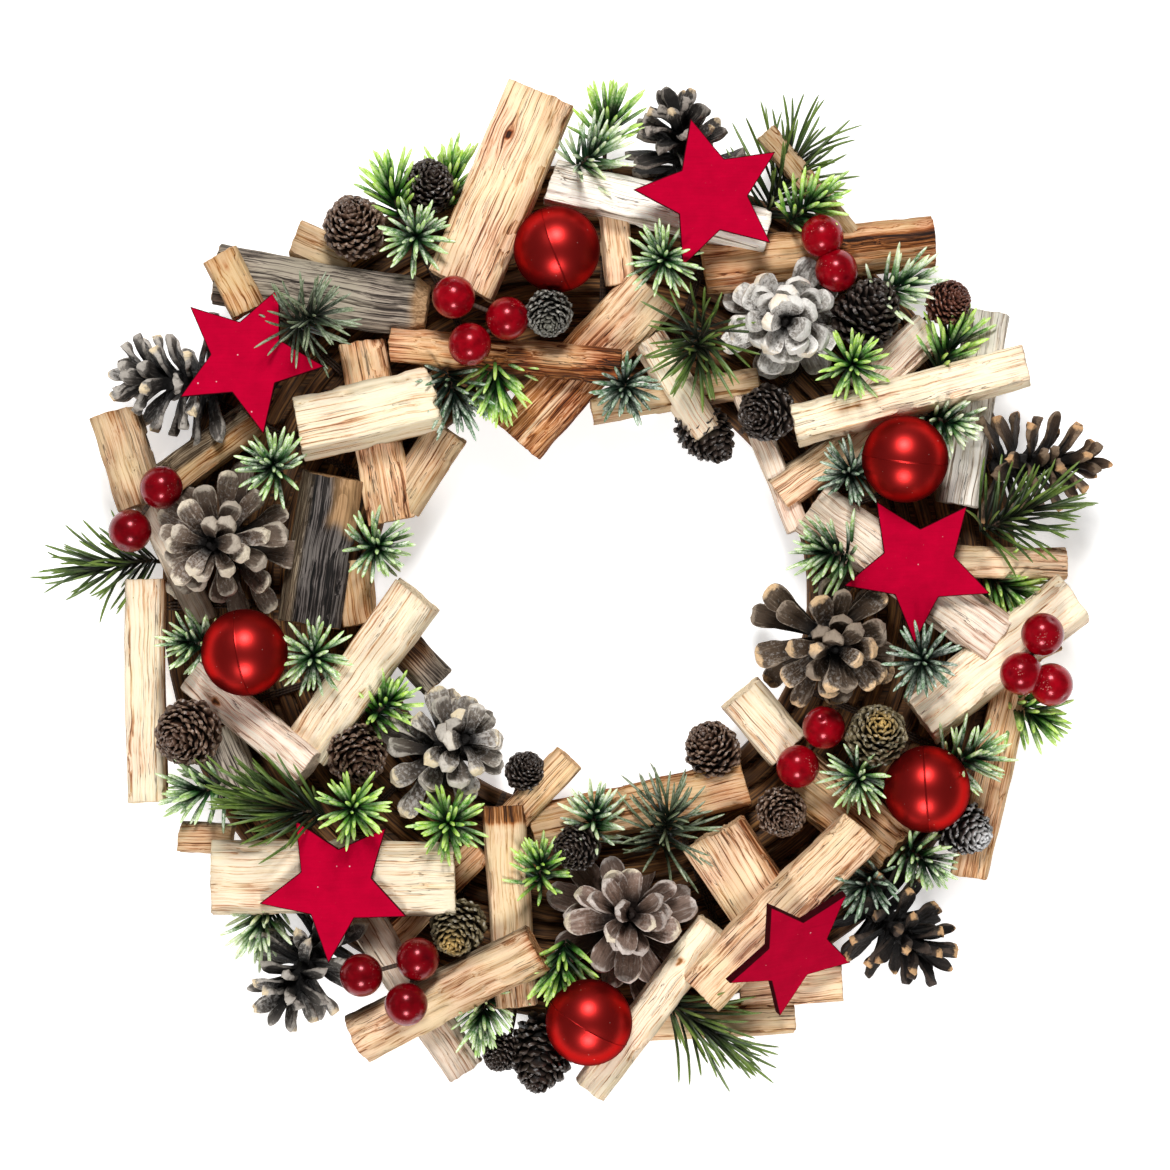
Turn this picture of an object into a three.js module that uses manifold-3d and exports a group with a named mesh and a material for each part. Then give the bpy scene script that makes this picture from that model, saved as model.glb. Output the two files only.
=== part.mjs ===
// Christmas wreath lying on its back: a flat bound ring carrying split kindling,
// painted stars, satin baubles, berry picks, pine cones and sprigs of artificial fir.
// Millimetres, +Z is the decorated front, +Y is the top of the hanging wreath.
import * as THREE from 'three';
import { ConvexGeometry } from 'three/addons/geometries/ConvexGeometry.js';
import { mergeVertices } from 'three/addons/utils/BufferGeometryUtils.js';
import Module from 'manifold-3d';

const wasm = await Module();
wasm.setup();
const { Manifold, Mesh: SolidMesh } = wasm;

// The plan is laid out in steps, x to the right and y down the sheet.
const STEP = 0.345;
const PLAN_MIDDLE = { x: 590, y: 592 };

// Driving dimensions in millimetres.
const CLEARANCE = 0.3;
const SMALLEST_EDGE = 0.12;
const FLOOR_ROOM = 3;
const RING = { inner: 76, outer: 150, height: 12, edge: 3.5, sides: 28 };
const STAR = { radius: 26.5, waist: 0.48, thickness: 3, points: 5 };
const BAUBLE = { radius: 15, around: 12, down: 8, neck: 2.6, neckLength: 3, neckSunk: 0.6 };
const BERRY = { radius: 7.4, around: 8, down: 5 };
const WIRE = { greenery: 11.1, cones: 8.3, half: 0.8, slot: 1.4 };
const DROP = { reach: 17, tries: 170, steepest: 0.7, kneeFall: 0.4 };
const SPRIG = { bud: 1.6, reach: 12, twig: 1.1, twigLength: 11, tiers: 5, columns: 8 };
const NEEDLE_SHARES = [1, 0.8, 0.6, 0.42];
const LARGE_CONE = {
  core: 0.2, top: 0.92, tiers: 7, columns: 8, twist: 22.5, tipThick: 2, lowest: -4, highest: 68,
  lifts: [0, 14, 28, 42],
};
const SMALL_CONE = { around: 8, tiers: 5, dent: 0.26, wireSeat: 0.6 };
const WOOD_WEAR = { corner: 0.03, endRun: 0.5, endSkew: 0.09 };

// Star: plan x, plan y, height, turn, lean direction, lean (degrees).
const STARS = [
  [709, 198, 45, 105, 300, 4], [250, 360, 40, 66, 0, 0], [917, 566, 35.5, 51, 200, 2],
  [792, 948, 41.2, 51, -45, 44], [337, 884, 40, 49, 0, 0],
];

// Bauble: plan x, plan y, height of the middle.
const BAUBLES = [
  [557, 251, 38], [903, 460, 40], [925, 788, 38], [247, 652, 41], [589, 1020, 38],
];

// Berry picks: plan x, plan y and height of every berry on one pick.
const BERRY_PICKS = [
  [[455, 300, 45], [508, 321, 44], [471, 347, 46]],
  [[821, 238, 37.2], [835, 272, 37.6]],
  [[1039, 634, 41.5], [1018, 673, 41], [1049, 684, 38]],
  [[823, 727, 35], [797, 766, 34.6]],
  [[363, 972, 42], [419, 956, 43], [408, 1000, 45.4]],
  [[163, 488, 36.2], [131, 531, 33]],
];

// Open cone: plan x, plan y, height of the middle, radius and length in mm,
// direction and rise of the tip (degrees), width of a scale end.
const LARGE_CONES = [
  ['cone_upper_right', 785, 318, 31.4, 21, 38, 250, 84, 7.2],
  ['cone_top', 680, 143.5, 24.6, 20, 34, 105, 42, 6.2],
  ['cone_right', 1036, 461, 22.6, 19, 34, 8, 24, 5.6],
  ['cone_lower_right', 824, 638, 31.6, 23.5, 38, 300, 80, 7.6],
  ['cone_bottom_right', 898, 931, 26, 22, 34, 318, 38, 5.6],
  ['cone_bottom', 627, 920, 31, 24, 36, 60, 82, 9],
  ['cone_left_low', 452, 748, 28, 22, 36, 30, 60, 7],
  ['cone_left_high', 223, 542, 32.4, 24, 40, 200, 80, 7],
  ['cone_top_left', 174, 378, 23.4, 21, 36, 170, 24, 6],
  ['cone_bottom_left', 309, 974, 29.2, 20, 42, 238, 40, 5.6],
];

// Closed cones on shared wires: plan x, plan y, height, radius in steps,
// direction and rise of the tip (degrees), length against width.
const SMALL_CONE_WIRES = [
  [[354, 227, 37, 30, 100, 50, 1.2], [428, 186, 30, 27, 60, 60, 1.1],
    [549, 318, 44, 21, 270, 60, 1.1]],
  [[868, 312, 33, 30, 60, 50, 1.2], [948, 302, 34, 24, 30, 60, 1],
    [765, 414, 30, 26, 200, 60, 1.1], [708, 434, 24, 27, 310, 30, 1.25]],
  [[876, 732, 40, 29, 80, 70, 1.1], [782, 815, 34, 25, 300, 60, 1.1],
    [966, 829, 23, 26, 330, 50, 1.1], [712, 748, 24, 25, 120, 50, 1.1]],
  [[575, 848, 32, 21, 200, 60, 1], [457, 929, 33, 25, 250, 60, 1.1],
    [541, 1057, 23, 30, 260, 40, 1.2], [500, 1056, 24, 17, 230, 50, 1],
    [526, 770, 27, 18, 60, 60, 1]],
  [[187, 734, 34, 32, 210, 60, 1.1], [358, 756, 30, 28, 300, 60, 1.1]],
];

// Split wood. Each block: plan x and y of both ends, width in steps, thickness in mm,
// height of both end middles, section. Blocks of one entry are bonded into one body.
const WOOD = {
  wood_top_plank: [[544, 93, 461, 287, 68, 15, 31, 34, 'split']],
  wood_top_pale: [[549, 181, 768, 234, 42, 13, 27, 28, 'split'],
    [611, 206, 620, 284, 32, 12, 20, 20, 'split']],
  wood_grey_log: [[214, 275, 428, 309, 60, 20.6, 26, 26, 'log'],
    [220, 254, 251, 314, 38, 12, 32, 32, 'split'],
    [292, 236, 350, 262, 38, 12, 20, 20, 'split']],
  wood_left_cream: [[298, 430, 437, 398, 62, 14, 32, 32, 'split'],
    [373, 340, 391, 522, 45, 13.4, 19.2, 19.2, 'split'],
    [452, 430, 400, 505, 36, 12, 19, 18.6, 'split']],
  wood_scorched_pair: [[389, 346, 621, 367, 32, 11, 31.6, 31.6, 'half'],
    [653, 286, 519, 432, 62, 13, 21, 19.4, 'split']],
  wood_upper_right_under: [[655, 352, 703, 431, 34, 12, 19, 19, 'split'],
    [590, 407, 762, 380, 30, 11, 18.4, 18.4, 'split'],
    [745, 388, 800, 530, 26, 11, 18.4, 18.4, 'split']],
  wood_half_log: [[703, 271, 937, 243, 44, 14, 24, 24, 'half'],
    [765, 130, 858, 240, 25, 10, 22, 22, 'split']],
  wood_right_cream: [[793, 426, 1027, 366, 38, 13.4, 32, 32, 'split'],
    [930, 324, 862, 392, 36, 14, 20, 19.6, 'split'],
    [779, 495, 878, 424, 42, 13.4, 19.4, 19.6, 'split'],
    [987, 310, 957, 505, 40, 13.8, 19.4, 19.4, 'split']],
  wood_right_pale: [[812, 505, 1000, 640, 52, 14, 26, 26, 'split'],
    [905, 561, 1069, 565, 33, 12, 23, 23, 'split']],
  wood_right_long: [[915, 715, 1074, 592, 45, 14, 26, 26, 'split'],
    [1020, 652, 970, 880, 33, 12, 18.6, 18.6, 'split'],
    [1030, 656, 1062, 640, 26, 8, 22, 22, 'split']],
  wood_inner_yellow: [[740, 693, 791, 752, 52, 18, 21.5, 21.5, 'split']],
  wood_lower_bar: [[530, 835, 748, 786, 40, 12, 18.6, 18.6, 'split'],
    [570, 758, 512, 822, 35, 12, 22, 21, 'split']],
  wood_lower_right_long: [[865, 830, 703, 995, 45, 14, 35, 35, 'split'],
    [716, 833, 762, 904, 70, 18, 25, 24, 'split']],
  wood_bottom_pale: [[715, 925, 590, 1092, 33, 11, 30.5, 26, 'split'],
    [769, 992, 845, 985, 44, 11, 18, 18, 'split'],
    [642, 1028, 796, 1018, 36, 12, 18.6, 18.6, 'split']],
  wood_split_log: [[356, 1041, 538, 945, 48, 14, 29.4, 38.6, 'half'],
    [503, 806, 516, 1009, 45, 14, 24, 24, 'split'],
    [358, 912, 465, 1075, 42, 13, 19.2, 19.2, 'split'],
    [480, 850, 380, 950, 32, 11, 18.4, 18.4, 'split']],
  wood_lower_left_pale: [[211, 875, 456, 878, 76, 12, 32, 32, 'split'],
    [178, 838, 232, 842, 28, 12, 22, 24, 'split']],
  wood_left_upright: [[141, 579, 143, 805, 44, 15.6, 17.6, 17.6, 'split']],
  wood_left_half_round: [[114, 416, 141, 494, 52, 14, 24, 24, 'half'],
    [136, 486, 202, 622, 28, 11, 18.4, 18.4, 'split'],
    [152, 494, 246, 422, 28, 12, 19, 20, 'split']],
  wood_charred: [[333, 475, 310, 626, 56, 20, 22.5, 22.5, 'split'],
    [349, 560, 358, 626, 28, 11, 20, 20, 'split']],
  wood_left_yellow: [[416, 590, 298, 746, 48, 14, 33, 32, 'split'],
    [390, 634, 438, 684, 38, 14, 20, 19.6, 'split'],
    [192, 676, 307, 775, 36, 13, 22, 23.5, 'split'],
    [212, 728, 242, 800, 48, 15, 20, 20, 'log']],
};

// Sprigs on shared wires. Short sprig: plan x, plan y, height, direction and rise
// of the twig, opening of the fan (degrees). A seventh value makes a long spray.
const GREENERY = [
  [[391, 196, 30, 110, 30, 52], [417, 239, 40, 0, 84, 82], [457, 184, 28, 75, 30, 50],
    [306, 324, 43, 20, 62, 85, 19], [274, 466, 38, 130, 60, 80], [365, 543, 34, 0, 55, 75],
    [134, 564, 25, 190, 24, 52, 22]],
  [[608, 124, 28, 80, 24, 52], [590, 157, 33, 40, 40, 60], [663, 262, 42, 0, 84, 80],
    [760, 158, 26, 50, 32, 58, 26], [806, 208, 31, 40, 30, 55]],
  [[441, 378, 42, 300, 35, 55], [499, 374, 40, 275, 30, 55], [625, 388, 34, 270, 60, 75],
    [700, 340, 36, 250, 62, 85, 22]],
  [[895, 290, 34, 15, 35, 60], [850, 366, 42, 0, 84, 82], [944, 350, 34, 60, 35, 55],
    [935, 428, 34, 330, 40, 60], [1003, 521, 32, 25, 32, 60, 25], [849, 474, 34, 200, 60, 78]],
  [[832, 553, 36, 175, 40, 60], [920, 660, 42, 0, 84, 82], [1000, 588, 26, 300, 30, 60],
    [1030, 712, 24, 330, 35, 55], [966, 758, 34, 20, 35, 60], [857, 777, 38, 270, 70, 80]],
  [[921, 858, 30, 320, 40, 65], [866, 884, 32, 220, 45, 65], [594, 817, 30, 85, 45, 70],
    [665, 832, 30, 80, 55, 85, 22], [686, 1015, 29, 325, 20, 36, 26]],
  [[541, 868, 34, 90, 50, 70], [562, 962, 34, 262, 30, 50], [450, 822, 40, 0, 80, 80],
    [483, 1010, 26, 260, 35, 60], [262, 920, 24, 250, 35, 50]],
  [[355, 806, 46, 0, 80, 80], [300, 808, 40, 175, 30, 42, 26], [204, 790, 28, 195, 35, 60],
    [198, 643, 34, 170, 45, 65], [315, 656, 38, 290, 75, 82], [384, 706, 30, 40, 40, 65]],
];

const LOOKS = {
  backing: { color: 0x6b4a2c, roughness: 0.9 },
  star: { color: 0xc4002e, roughness: 0.55 },
  bauble: { color: 0xb80e14, roughness: 0.3 },
  berry: { color: 0xb4001c, roughness: 0.15 },
  cone: { color: 0x6e5a4a, roughness: 0.85 },
  small_cone: { color: 0x4a3628, roughness: 0.85 },
  pale_wood: { color: 0xe8cfa6, roughness: 0.8 },
  tan_wood: { color: 0xd2a877, roughness: 0.8 },
  grey_wood: { color: 0x7d746a, roughness: 0.85 },
  scorched_wood: { color: 0x4a2f1e, roughness: 0.75 },
  needles: { color: 0x3f6b2c, roughness: 0.6 },
};
const WOOD_LOOKS = {
  pale_wood: [
    'wood_top_pale', 'wood_left_cream', 'wood_right_cream', 'wood_right_pale', 'wood_inner_yellow',
    'wood_bottom_pale', 'wood_lower_left_pale', 'wood_left_upright', 'wood_left_yellow'],
  grey_wood: ['wood_grey_log'],
  scorched_wood: ['wood_scorched_pair', 'wood_half_log', 'wood_charred'],
};
const woodLook = (name) => Object.keys(WOOD_LOOKS).find(
  (look) => WOOD_LOOKS[look].includes(name)) ?? 'tan_wood';

// Repeatable random draws.
let seedState = 1;
function seed(value) {
  seedState = (value * 2654435761) >>> 0;
}
function random() {
  seedState = (seedState + 0x6d2b79f5) >>> 0;
  let t = Math.imul(seedState ^ (seedState >>> 15), 1 | seedState);
  t = (t + Math.imul(t ^ (t >>> 7), 61 | t)) ^ t;
  return ((t ^ (t >>> 14)) >>> 0) / 4294967296;
}
const spread = (amount) => (random() * 2 - 1) * amount;
const radians = THREE.MathUtils.degToRad;
const vector = (x, y, z) => new THREE.Vector3(x, y, z);
const place = (x, y, z) => vector((x - PLAN_MIDDLE.x) * STEP, (PLAN_MIDDLE.y - y) * STEP, z);
const GOLDEN_TURN = Math.PI * (3 - Math.sqrt(5));
const THREE_SIDES = [90, 210, 330];

// Unit vector from a direction in the plan and a rise out of it, in degrees.
function heading(direction, rise) {
  const flat = Math.cos(radians(rise));
  return vector(
    flat * Math.cos(radians(direction)), flat * Math.sin(radians(direction)), Math.sin(radians(rise)));
}

// Two unit vectors square to an axis and to each other; the first one lies in the plan.
function squareTo(axis) {
  const level = Math.abs(axis.z) > 0.999 ? vector(1, 0, 0) : vector(-axis.y, axis.x, 0).normalize();
  return [level, axis.clone().cross(level).normalize()];
}

// Closed solid of a geometry, turned outside out where its faces point in.
function solidOf(geometry) {
  geometry.deleteAttribute('normal');
  geometry.deleteAttribute('uv');
  const merged = mergeVertices(geometry, 1e-4);
  const triVerts = new Uint32Array(merged.index.array);
  const build = () => new Manifold(new SolidMesh({
    numProp: 3, vertProperties: new Float32Array(merged.attributes.position.array), triVerts,
  }));
  const solid = build();
  if (solid.volume() > 0) return solid;
  for (let i = 0; i < triVerts.length; i += 3) {
    [triVerts[i], triVerts[i + 1]] = [triVerts[i + 1], triVerts[i]];
  }
  return build();
}
const hullOf = (points) => solidOf(new ConvexGeometry(points));
const join = (solids) => (solids.length > 1 ? Manifold.union(solids) : solids[0]);

// The largest body of a solid: small scraps left by a cut are dropped.
function mainBody(solid) {
  const bodies = solid.decompose();
  return bodies.reduce((best, body) => (body.volume() > best.volume() ? body : best));
}

// Everything placed so far, for keeping later pieces clear.
const placed = [];
function keep(name, solid, look, cutter = solid) {
  const entry = { name, solid, look, cutter, box: cutter.boundingBox() };
  placed.push(entry);
  return entry;
}
function nearby(solid, margin, own) {
  const box = solid.boundingBox();
  return placed.filter((entry) => entry !== own && [0, 1, 2].every((axis) => (
    box.min[axis] - margin < entry.box.max[axis] && box.max[axis] + margin > entry.box.min[axis])));
}
function isClear(solid, own) {
  return solid.boundingBox().min[2] > FLOOR_ROOM && nearby(solid, CLEARANCE, own).every(
    (entry) => solid.minGap(entry.solid, CLEARANCE) >= CLEARANCE - 0.01);
}
function cutByPlaced(solid, own) {
  return nearby(solid, CLEARANCE, own).reduce((rest, entry) => rest.subtract(entry.cutter), solid);
}

// Three-sided wire between two points, run on past both ends by half its thickness.
function wireBar(from, to, half = WIRE.half) {
  const axis = to.clone().sub(from).normalize();
  const [side, up] = squareTo(axis);
  return hullOf([[from, -half / 2], [to, half / 2]].flatMap(([end, run]) => THREE_SIDES.map(
    (angle) => end.clone().addScaledVector(axis, run)
      .addScaledVector(side, half * Math.cos(radians(angle)))
      .addScaledVector(up, half * Math.sin(radians(angle))))));
}

// Nearest clear way down from a piece to wire level, tried on a widening spiral:
// straight first, then with a knee just below the piece.
function clearDrop(top, level, own) {
  const low = RING.height + CLEARANCE + WIRE.half;
  for (const kneed of [false, true]) {
    for (let i = 0; i < DROP.tries; i += 1) {
      const away = DROP.reach * Math.sqrt(i / DROP.tries);
      const foot = vector(
        top.x + away * Math.cos(i * GOLDEN_TURN), top.y + away * Math.sin(i * GOLDEN_TURN), level);
      if (!kneed && away * (RING.height - level) > DROP.steepest * (top.z - level)) break;
      const knee = foot.clone().setZ(Math.max(top.z - away * DROP.kneeFall, low + 1));
      const path = kneed && i ? [foot, knee, top] : [foot, top];
      const first = foot.clone().lerp(path[1], (low - level) / (path[1].z - level));
      const free = [wireBar(first, path[1])];
      if (path.length > 2) free.push(wireBar(knee, top));
      if (free.every((bar) => isClear(bar, own))) {
        return { foot, bars: [wireBar(foot, path[1]), ...free.slice(1)] };
      }
    }
  }
  return null;
}

function ball(radius, around, down, centre) {
  const sphere = new THREE.SphereGeometry(radius, around, down);
  return solidOf(sphere.rotateX(Math.PI / 2).translate(centre.x, centre.y, centre.z));
}

// Flat star, leaning; grown on all sides its sharp points move out most.
function starSolid([x, y, height, turn, leanTo, lean], grow) {
  const outline = new THREE.Shape();
  const point = STAR.radius + 2.6 * grow;
  const waist = STAR.radius * STAR.waist + 1.1 * grow;
  for (let i = 0; i < 2 * STAR.points; i += 1) {
    const radius = i % 2 ? waist : point;
    const angle = radians(turn + i * 180 / STAR.points);
    outline[i ? 'lineTo' : 'moveTo'](radius * Math.cos(angle), radius * Math.sin(angle));
  }
  const depth = STAR.thickness + 2 * grow;
  const plate = new THREE.ExtrudeGeometry(outline, { depth, bevelEnabled: false });
  plate.translate(0, 0, -depth / 2);
  const leanAxis = heading(leanTo + 90, 0);
  plate.applyMatrix4(new THREE.Matrix4().makeRotationAxis(leanAxis, radians(lean)));
  const centre = place(x, y, height);
  return solidOf(plate.translate(centre.x, centre.y, centre.z));
}

// Sections of split sticks, half logs and round logs, one unit wide and high.
const SECTIONS = {
  split: [[-0.5, -0.42], [-0.3, -0.5], [0.46, -0.5], [0.5, 0.3], [0.36, 0.5], [-0.42, 0.48]],
  half: [[-0.46, -0.5], [0.46, -0.5], [0.5, -0.1], [0.36, 0.3], [0.08, 0.5], [-0.24, 0.42],
    [-0.5, 0]],
  log: Array.from({ length: 10 }, (_, i) => [
    0.5 * Math.cos(i * Math.PI / 5), 0.5 * Math.sin(i * Math.PI / 5)]),
};

// Block of split wood with worn corners and ends that aren't quite square.
function woodBlock([xA, yA, xB, yB, width, thick, zA, zB, section], number, grow) {
  seed(number + 11);
  const from = place(xA, yA, zA);
  const to = place(xB, yB, zB);
  const axis = to.clone().sub(from).normalize();
  const [side, up] = squareTo(axis);
  if (up.z < 0) up.negate();
  const points = [];
  const wear = SECTIONS[section].map(() => [spread(WOOD_WEAR.corner), spread(WOOD_WEAR.corner)]);
  for (const [end, outward] of [[from, -1], [to, 1]]) {
    const skew = spread(WOOD_WEAR.endSkew);
    SECTIONS[section].forEach(([across, rise], i) => {
      const run = outward * (grow + spread(WOOD_WEAR.endRun)) + skew * across * width * STEP;
      points.push(end.clone().addScaledVector(axis, run)
        .addScaledVector(side, (across + wear[i][0]) * (width * STEP + 2 * grow))
        .addScaledVector(up, (rise + Math.min(wear[i][1], 0) * Math.sign(rise))
          * (thick + 2 * grow)));
    });
  }
  return hullOf(points);
}

// Cone frame: the axis with two vectors square to it, and the middle of its foot.
function coneFrame(middle, length, direction, rise) {
  const axis = heading(direction, rise);
  const [side, up] = squareTo(axis);
  return { axis, side, up, foot: middle.clone().addScaledVector(axis, -length / 2) };
}
function turned(solid, frame) {
  const basis = new THREE.Matrix4().makeBasis(frame.side, frame.up, frame.axis);
  return solid.transform(basis.setPosition(frame.foot).elements);
}
function spindle(rows, sides) {
  const profile = rows.map(([radius, height]) => new THREE.Vector2(radius, height));
  return solidOf(new THREE.LatheGeometry(profile, sides).rotateX(Math.PI / 2));
}

// Closed shell of facets, some of them drawn out to a point or to a blunt end.
function drawnShell(corners, facets, drawOut) {
  const points = corners.flatMap((corner) => corner.toArray());
  const triangles = [];
  const fan = (ring) => {
    for (let k = 2; k < ring.length; k += 1) triangles.push(ring[0], ring[k - 1], ring[k]);
  };
  for (const facet of facets) {
    const ends = drawOut(facet) ?? [];
    const first = points.length / 3;
    ends.forEach((end) => points.push(...end.toArray()));
    facet.forEach((corner, k) => {
      const next = (k + 1) % facet.length;
      if (ends.length === 1) fan([corner, facet[next], first]);
      if (ends.length > 1) fan([corner, facet[next], first + next, first + k]);
    });
    fan(ends.length > 1 ? ends.map((_, k) => first + k) : []);
    if (!ends.length) fan(facet);
  }
  const geometry = new THREE.BufferGeometry();
  geometry.setAttribute('position', new THREE.Float32BufferAttribute(points, 3));
  return solidOf(geometry.setIndex(triangles));
}

// Corners and facets of a spindle round a frame; every second facet, in staggered
// rows, is marked for drawing out with its tier and the way it faces.
function staggeredSpindle(frame, foot, rings, top, columns, twist) {
  const around = (angle) => frame.side.clone().multiplyScalar(Math.cos(angle))
    .addScaledVector(frame.up, Math.sin(angle));
  const on = (height) => frame.foot.clone().addScaledVector(frame.axis, height);
  const turn = (tier, column) => 2 * Math.PI * column / columns + radians(twist) * tier;
  const corners = [on(foot), on(top)];
  rings.forEach(([radius, height], tier) => {
    for (let k = 0; k < columns; k += 1) {
      corners.push(on(height).addScaledVector(around(turn(tier, k)), radius));
    }
  });
  const facets = [];
  const marks = new Map();
  for (let k = 0; k < columns; k += 1) {
    const next = (k + 1) % columns;
    const at = (tier, column) => 2 + tier * columns + column;
    facets.push([0, at(0, next), at(0, k)], [1, at(rings.length - 1, k), at(rings.length - 1, next)]);
    for (let tier = 0; tier + 1 < rings.length; tier += 1) {
      const facet = [at(tier, k), at(tier, next), at(tier + 1, next), at(tier + 1, k)];
      facets.push(facet);
      if ((tier + k) % 2 === 0) {
        marks.set(facet, { t: tier / (rings.length - 2), out: around(turn(tier + 0.5, k + 0.5)) });
      }
    }
  }
  return { corners, facets, marks };
}
const centreOf = (points) => points.reduce((sum, p) => sum.add(p), vector(0, 0, 0))
  .divideScalar(points.length);

// Slim core of an open cone, alone and as the room it takes.
function coneRings(radius, length, tiers) {
  const slim = radius * LARGE_CONE.core;
  return Array.from({ length: tiers + 1 }, (_, j) => [
    slim * (1 - 0.5 * j / tiers), length * (0.08 + 0.74 * j / tiers)]);
}
function coneCore(radius, length, frame, grow) {
  const rings = coneRings(radius, length, 2).map(([r, h]) => [r + grow, h]);
  return turned(spindle([[0, -grow], ...rings, [0, length * LARGE_CONE.top + grow]], 6), frame);
}

// Open cone: woody scales drawn out of the core, broad and thick at their ends,
// lifted clear of whatever they would touch.
function largeCone(entry, [, , , , radius, length, , , width], frame) {
  const rings = coneRings(radius, length, LARGE_CONE.tiers);
  const { corners, facets, marks } = staggeredSpindle(
    frame, 0, rings, length * LARGE_CONE.top, LARGE_CONE.columns, LARGE_CONE.twist);
  return drawnShell(corners, facets, (facet) => {
    if (!marks.has(facet)) return null;
    const { t, out } = marks.get(facet);
    const root = facet.map((corner) => corners[corner]);
    const across = frame.axis.clone().cross(out);
    const broad = width * (1 - 0.35 * t);
    const reach = radius * (0.62 + 0.24 * Math.sin(Math.PI * (t + 0.3))) * (1 - 0.2 * t)
      * (1 + spread(0.05));
    for (const lift of LARGE_CONE.lifts) {
      const rise = radians(THREE.MathUtils.lerp(LARGE_CONE.lowest, LARGE_CONE.highest, t) + lift);
      const run = out.clone().multiplyScalar(Math.cos(rise))
        .addScaledVector(frame.axis, Math.sin(rise));
      const thickness = run.clone().cross(across);
      const tip = centreOf(root).addScaledVector(run, reach);
      const ends = [[-0.5, -0.5], [0.5, -0.5], [0.5, 0.5], [-0.5, 0.5]].map(([a, b]) => tip.clone()
        .addScaledVector(across, a * broad).addScaledVector(thickness, b * LARGE_CONE.tipThick));
      if (isClear(hullOf([...root, ...ends]), entry)) return ends;
    }
    return null;
  });
}

// Closed cone: an egg-shaped body whose surface steps in and out like packed scales.
function smallCone([x, y, height, steps, direction, rise, stretch], grow) {
  const radius = steps * STEP + grow;
  const length = 2 * steps * STEP * stretch;
  const frame = coneFrame(place(x, y, height), length, direction, rise);
  const rows = [new THREE.Vector2(0, -grow)];
  for (let j = 1; j < SMALL_CONE.tiers; j += 1) {
    const t = j / SMALL_CONE.tiers;
    rows.push(new THREE.Vector2(radius * Math.sin(Math.PI * t ** 0.8) ** 0.6, t * length));
  }
  rows.push(new THREE.Vector2(0, length + grow));
  const shell = new THREE.LatheGeometry(rows, SMALL_CONE.around);
  const vertices = shell.attributes.position;
  for (let n = 0; n < vertices.count && !grow; n += 1) {
    const column = Math.floor(n / rows.length);
    const width = (column + n % rows.length) % 2 ? 1 : 1 - SMALL_CONE.dent;
    vertices.setX(n, vertices.getX(n) * width);
    vertices.setZ(n, vertices.getZ(n) * width);
  }
  return turned(solidOf(shell.rotateX(Math.PI / 2)), frame);
}

// End of a needle: shortened until it clears its neighbours, left out when it can't.
function needleEnd(root, run, length) {
  for (const share of NEEDLE_SHARES) {
    const end = centreOf(root).addScaledVector(run, length * share);
    if (isClear(hullOf([...root, end]))) return [end];
  }
  return null;
}

// Short sprig: a small bud bristling with needles inside the opening of its fan.
function shortSprig(head, axis, opening) {
  const bud = mergeVertices(new THREE.OctahedronGeometry(SPRIG.bud, 1).deleteAttribute('normal')
    .deleteAttribute('uv'), 1e-4);
  const tilt = new THREE.Quaternion().setFromUnitVectors(vector(0, 0, 1), axis);
  const position = bud.attributes.position;
  const corners = Array.from({ length: position.count }, (_, i) => vector(0, 0, 0)
    .fromBufferAttribute(position, i).applyQuaternion(tilt).add(head));
  const index = Array.from(bud.index.array);
  const facets = Array.from({ length: index.length / 3 }, (_, i) => index.slice(3 * i, 3 * i + 3));
  return drawnShell(corners, facets, (facet) => {
    const root = facet.map((corner) => corners[corner]);
    const facing = centreOf(root).sub(head).normalize();
    const away = facing.angleTo(axis);
    const open = away * opening / 85;
    if (open > radians(opening) * 1.12) return null;
    const run = facing.sub(axis.clone().multiplyScalar(facing.dot(axis))).normalize()
      .multiplyScalar(Math.sin(open)).addScaledVector(axis, Math.cos(open));
    return needleEnd(root, run, SPRIG.reach * (0.88 + 0.26 * random()));
  });
}

// Long spray: needles raked forward all along a slim twig.
function longSpray(head, axis, opening, reach) {
  const [side, up] = squareTo(axis);
  const frame = { axis, side, up, foot: head };
  const rings = Array.from({ length: SPRIG.tiers + 1 }, (_, j) => [
    SPRIG.twig * (1.1 - 0.5 * j / SPRIG.tiers), SPRIG.twigLength * (0.1 + 0.8 * j / SPRIG.tiers)]);
  const { corners, facets, marks } = staggeredSpindle(
    frame, -1, rings, SPRIG.twigLength, SPRIG.columns, 180 / SPRIG.columns);
  return drawnShell(corners, facets, (facet) => {
    if (!marks.has(facet)) return null;
    const { t, out } = marks.get(facet);
    const open = radians(opening * (1 - 0.72 * t) + spread(7));
    const run = axis.clone().multiplyScalar(Math.cos(open)).addScaledVector(out, Math.sin(open));
    const root = facet.map((corner) => corners[corner]);
    return needleEnd(root, run, reach * (0.86 + 0.28 * random()));
  });
}

function sprig([x, y, height, direction, rise, opening, reach]) {
  const axis = heading(direction, rise);
  const head = place(x, y, height);
  const solid = reach ? longSpray(head, axis, opening, reach) : shortSprig(head, axis, opening);
  return { head, solid };
}

// A wire joining several pieces: drops from each one, linked end to end at wire level.
function onWire(tops, solids, level, own) {
  const drops = tops.map((top) => clearDrop(top, level, own));
  const feet = drops.map((drop) => drop.foot);
  const angle = (foot) => Math.atan2(foot.y, foot.x);
  const middle = feet.reduce((sum, foot) => sum.add(foot), vector(0, 0, 0));
  const home = angle(middle);
  const turn = (foot) => Math.atan2(Math.sin(angle(foot) - home), Math.cos(angle(foot) - home));
  feet.sort((a, b) => turn(a) - turn(b));
  const run = feet.slice(1).map((foot, i) => [feet[i], foot]);
  const bars = [...drops.flatMap((drop) => drop.bars), ...run.map(([a, b]) => wireBar(a, b))];
  return { solid: join([...solids, ...bars]), run };
}

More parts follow.
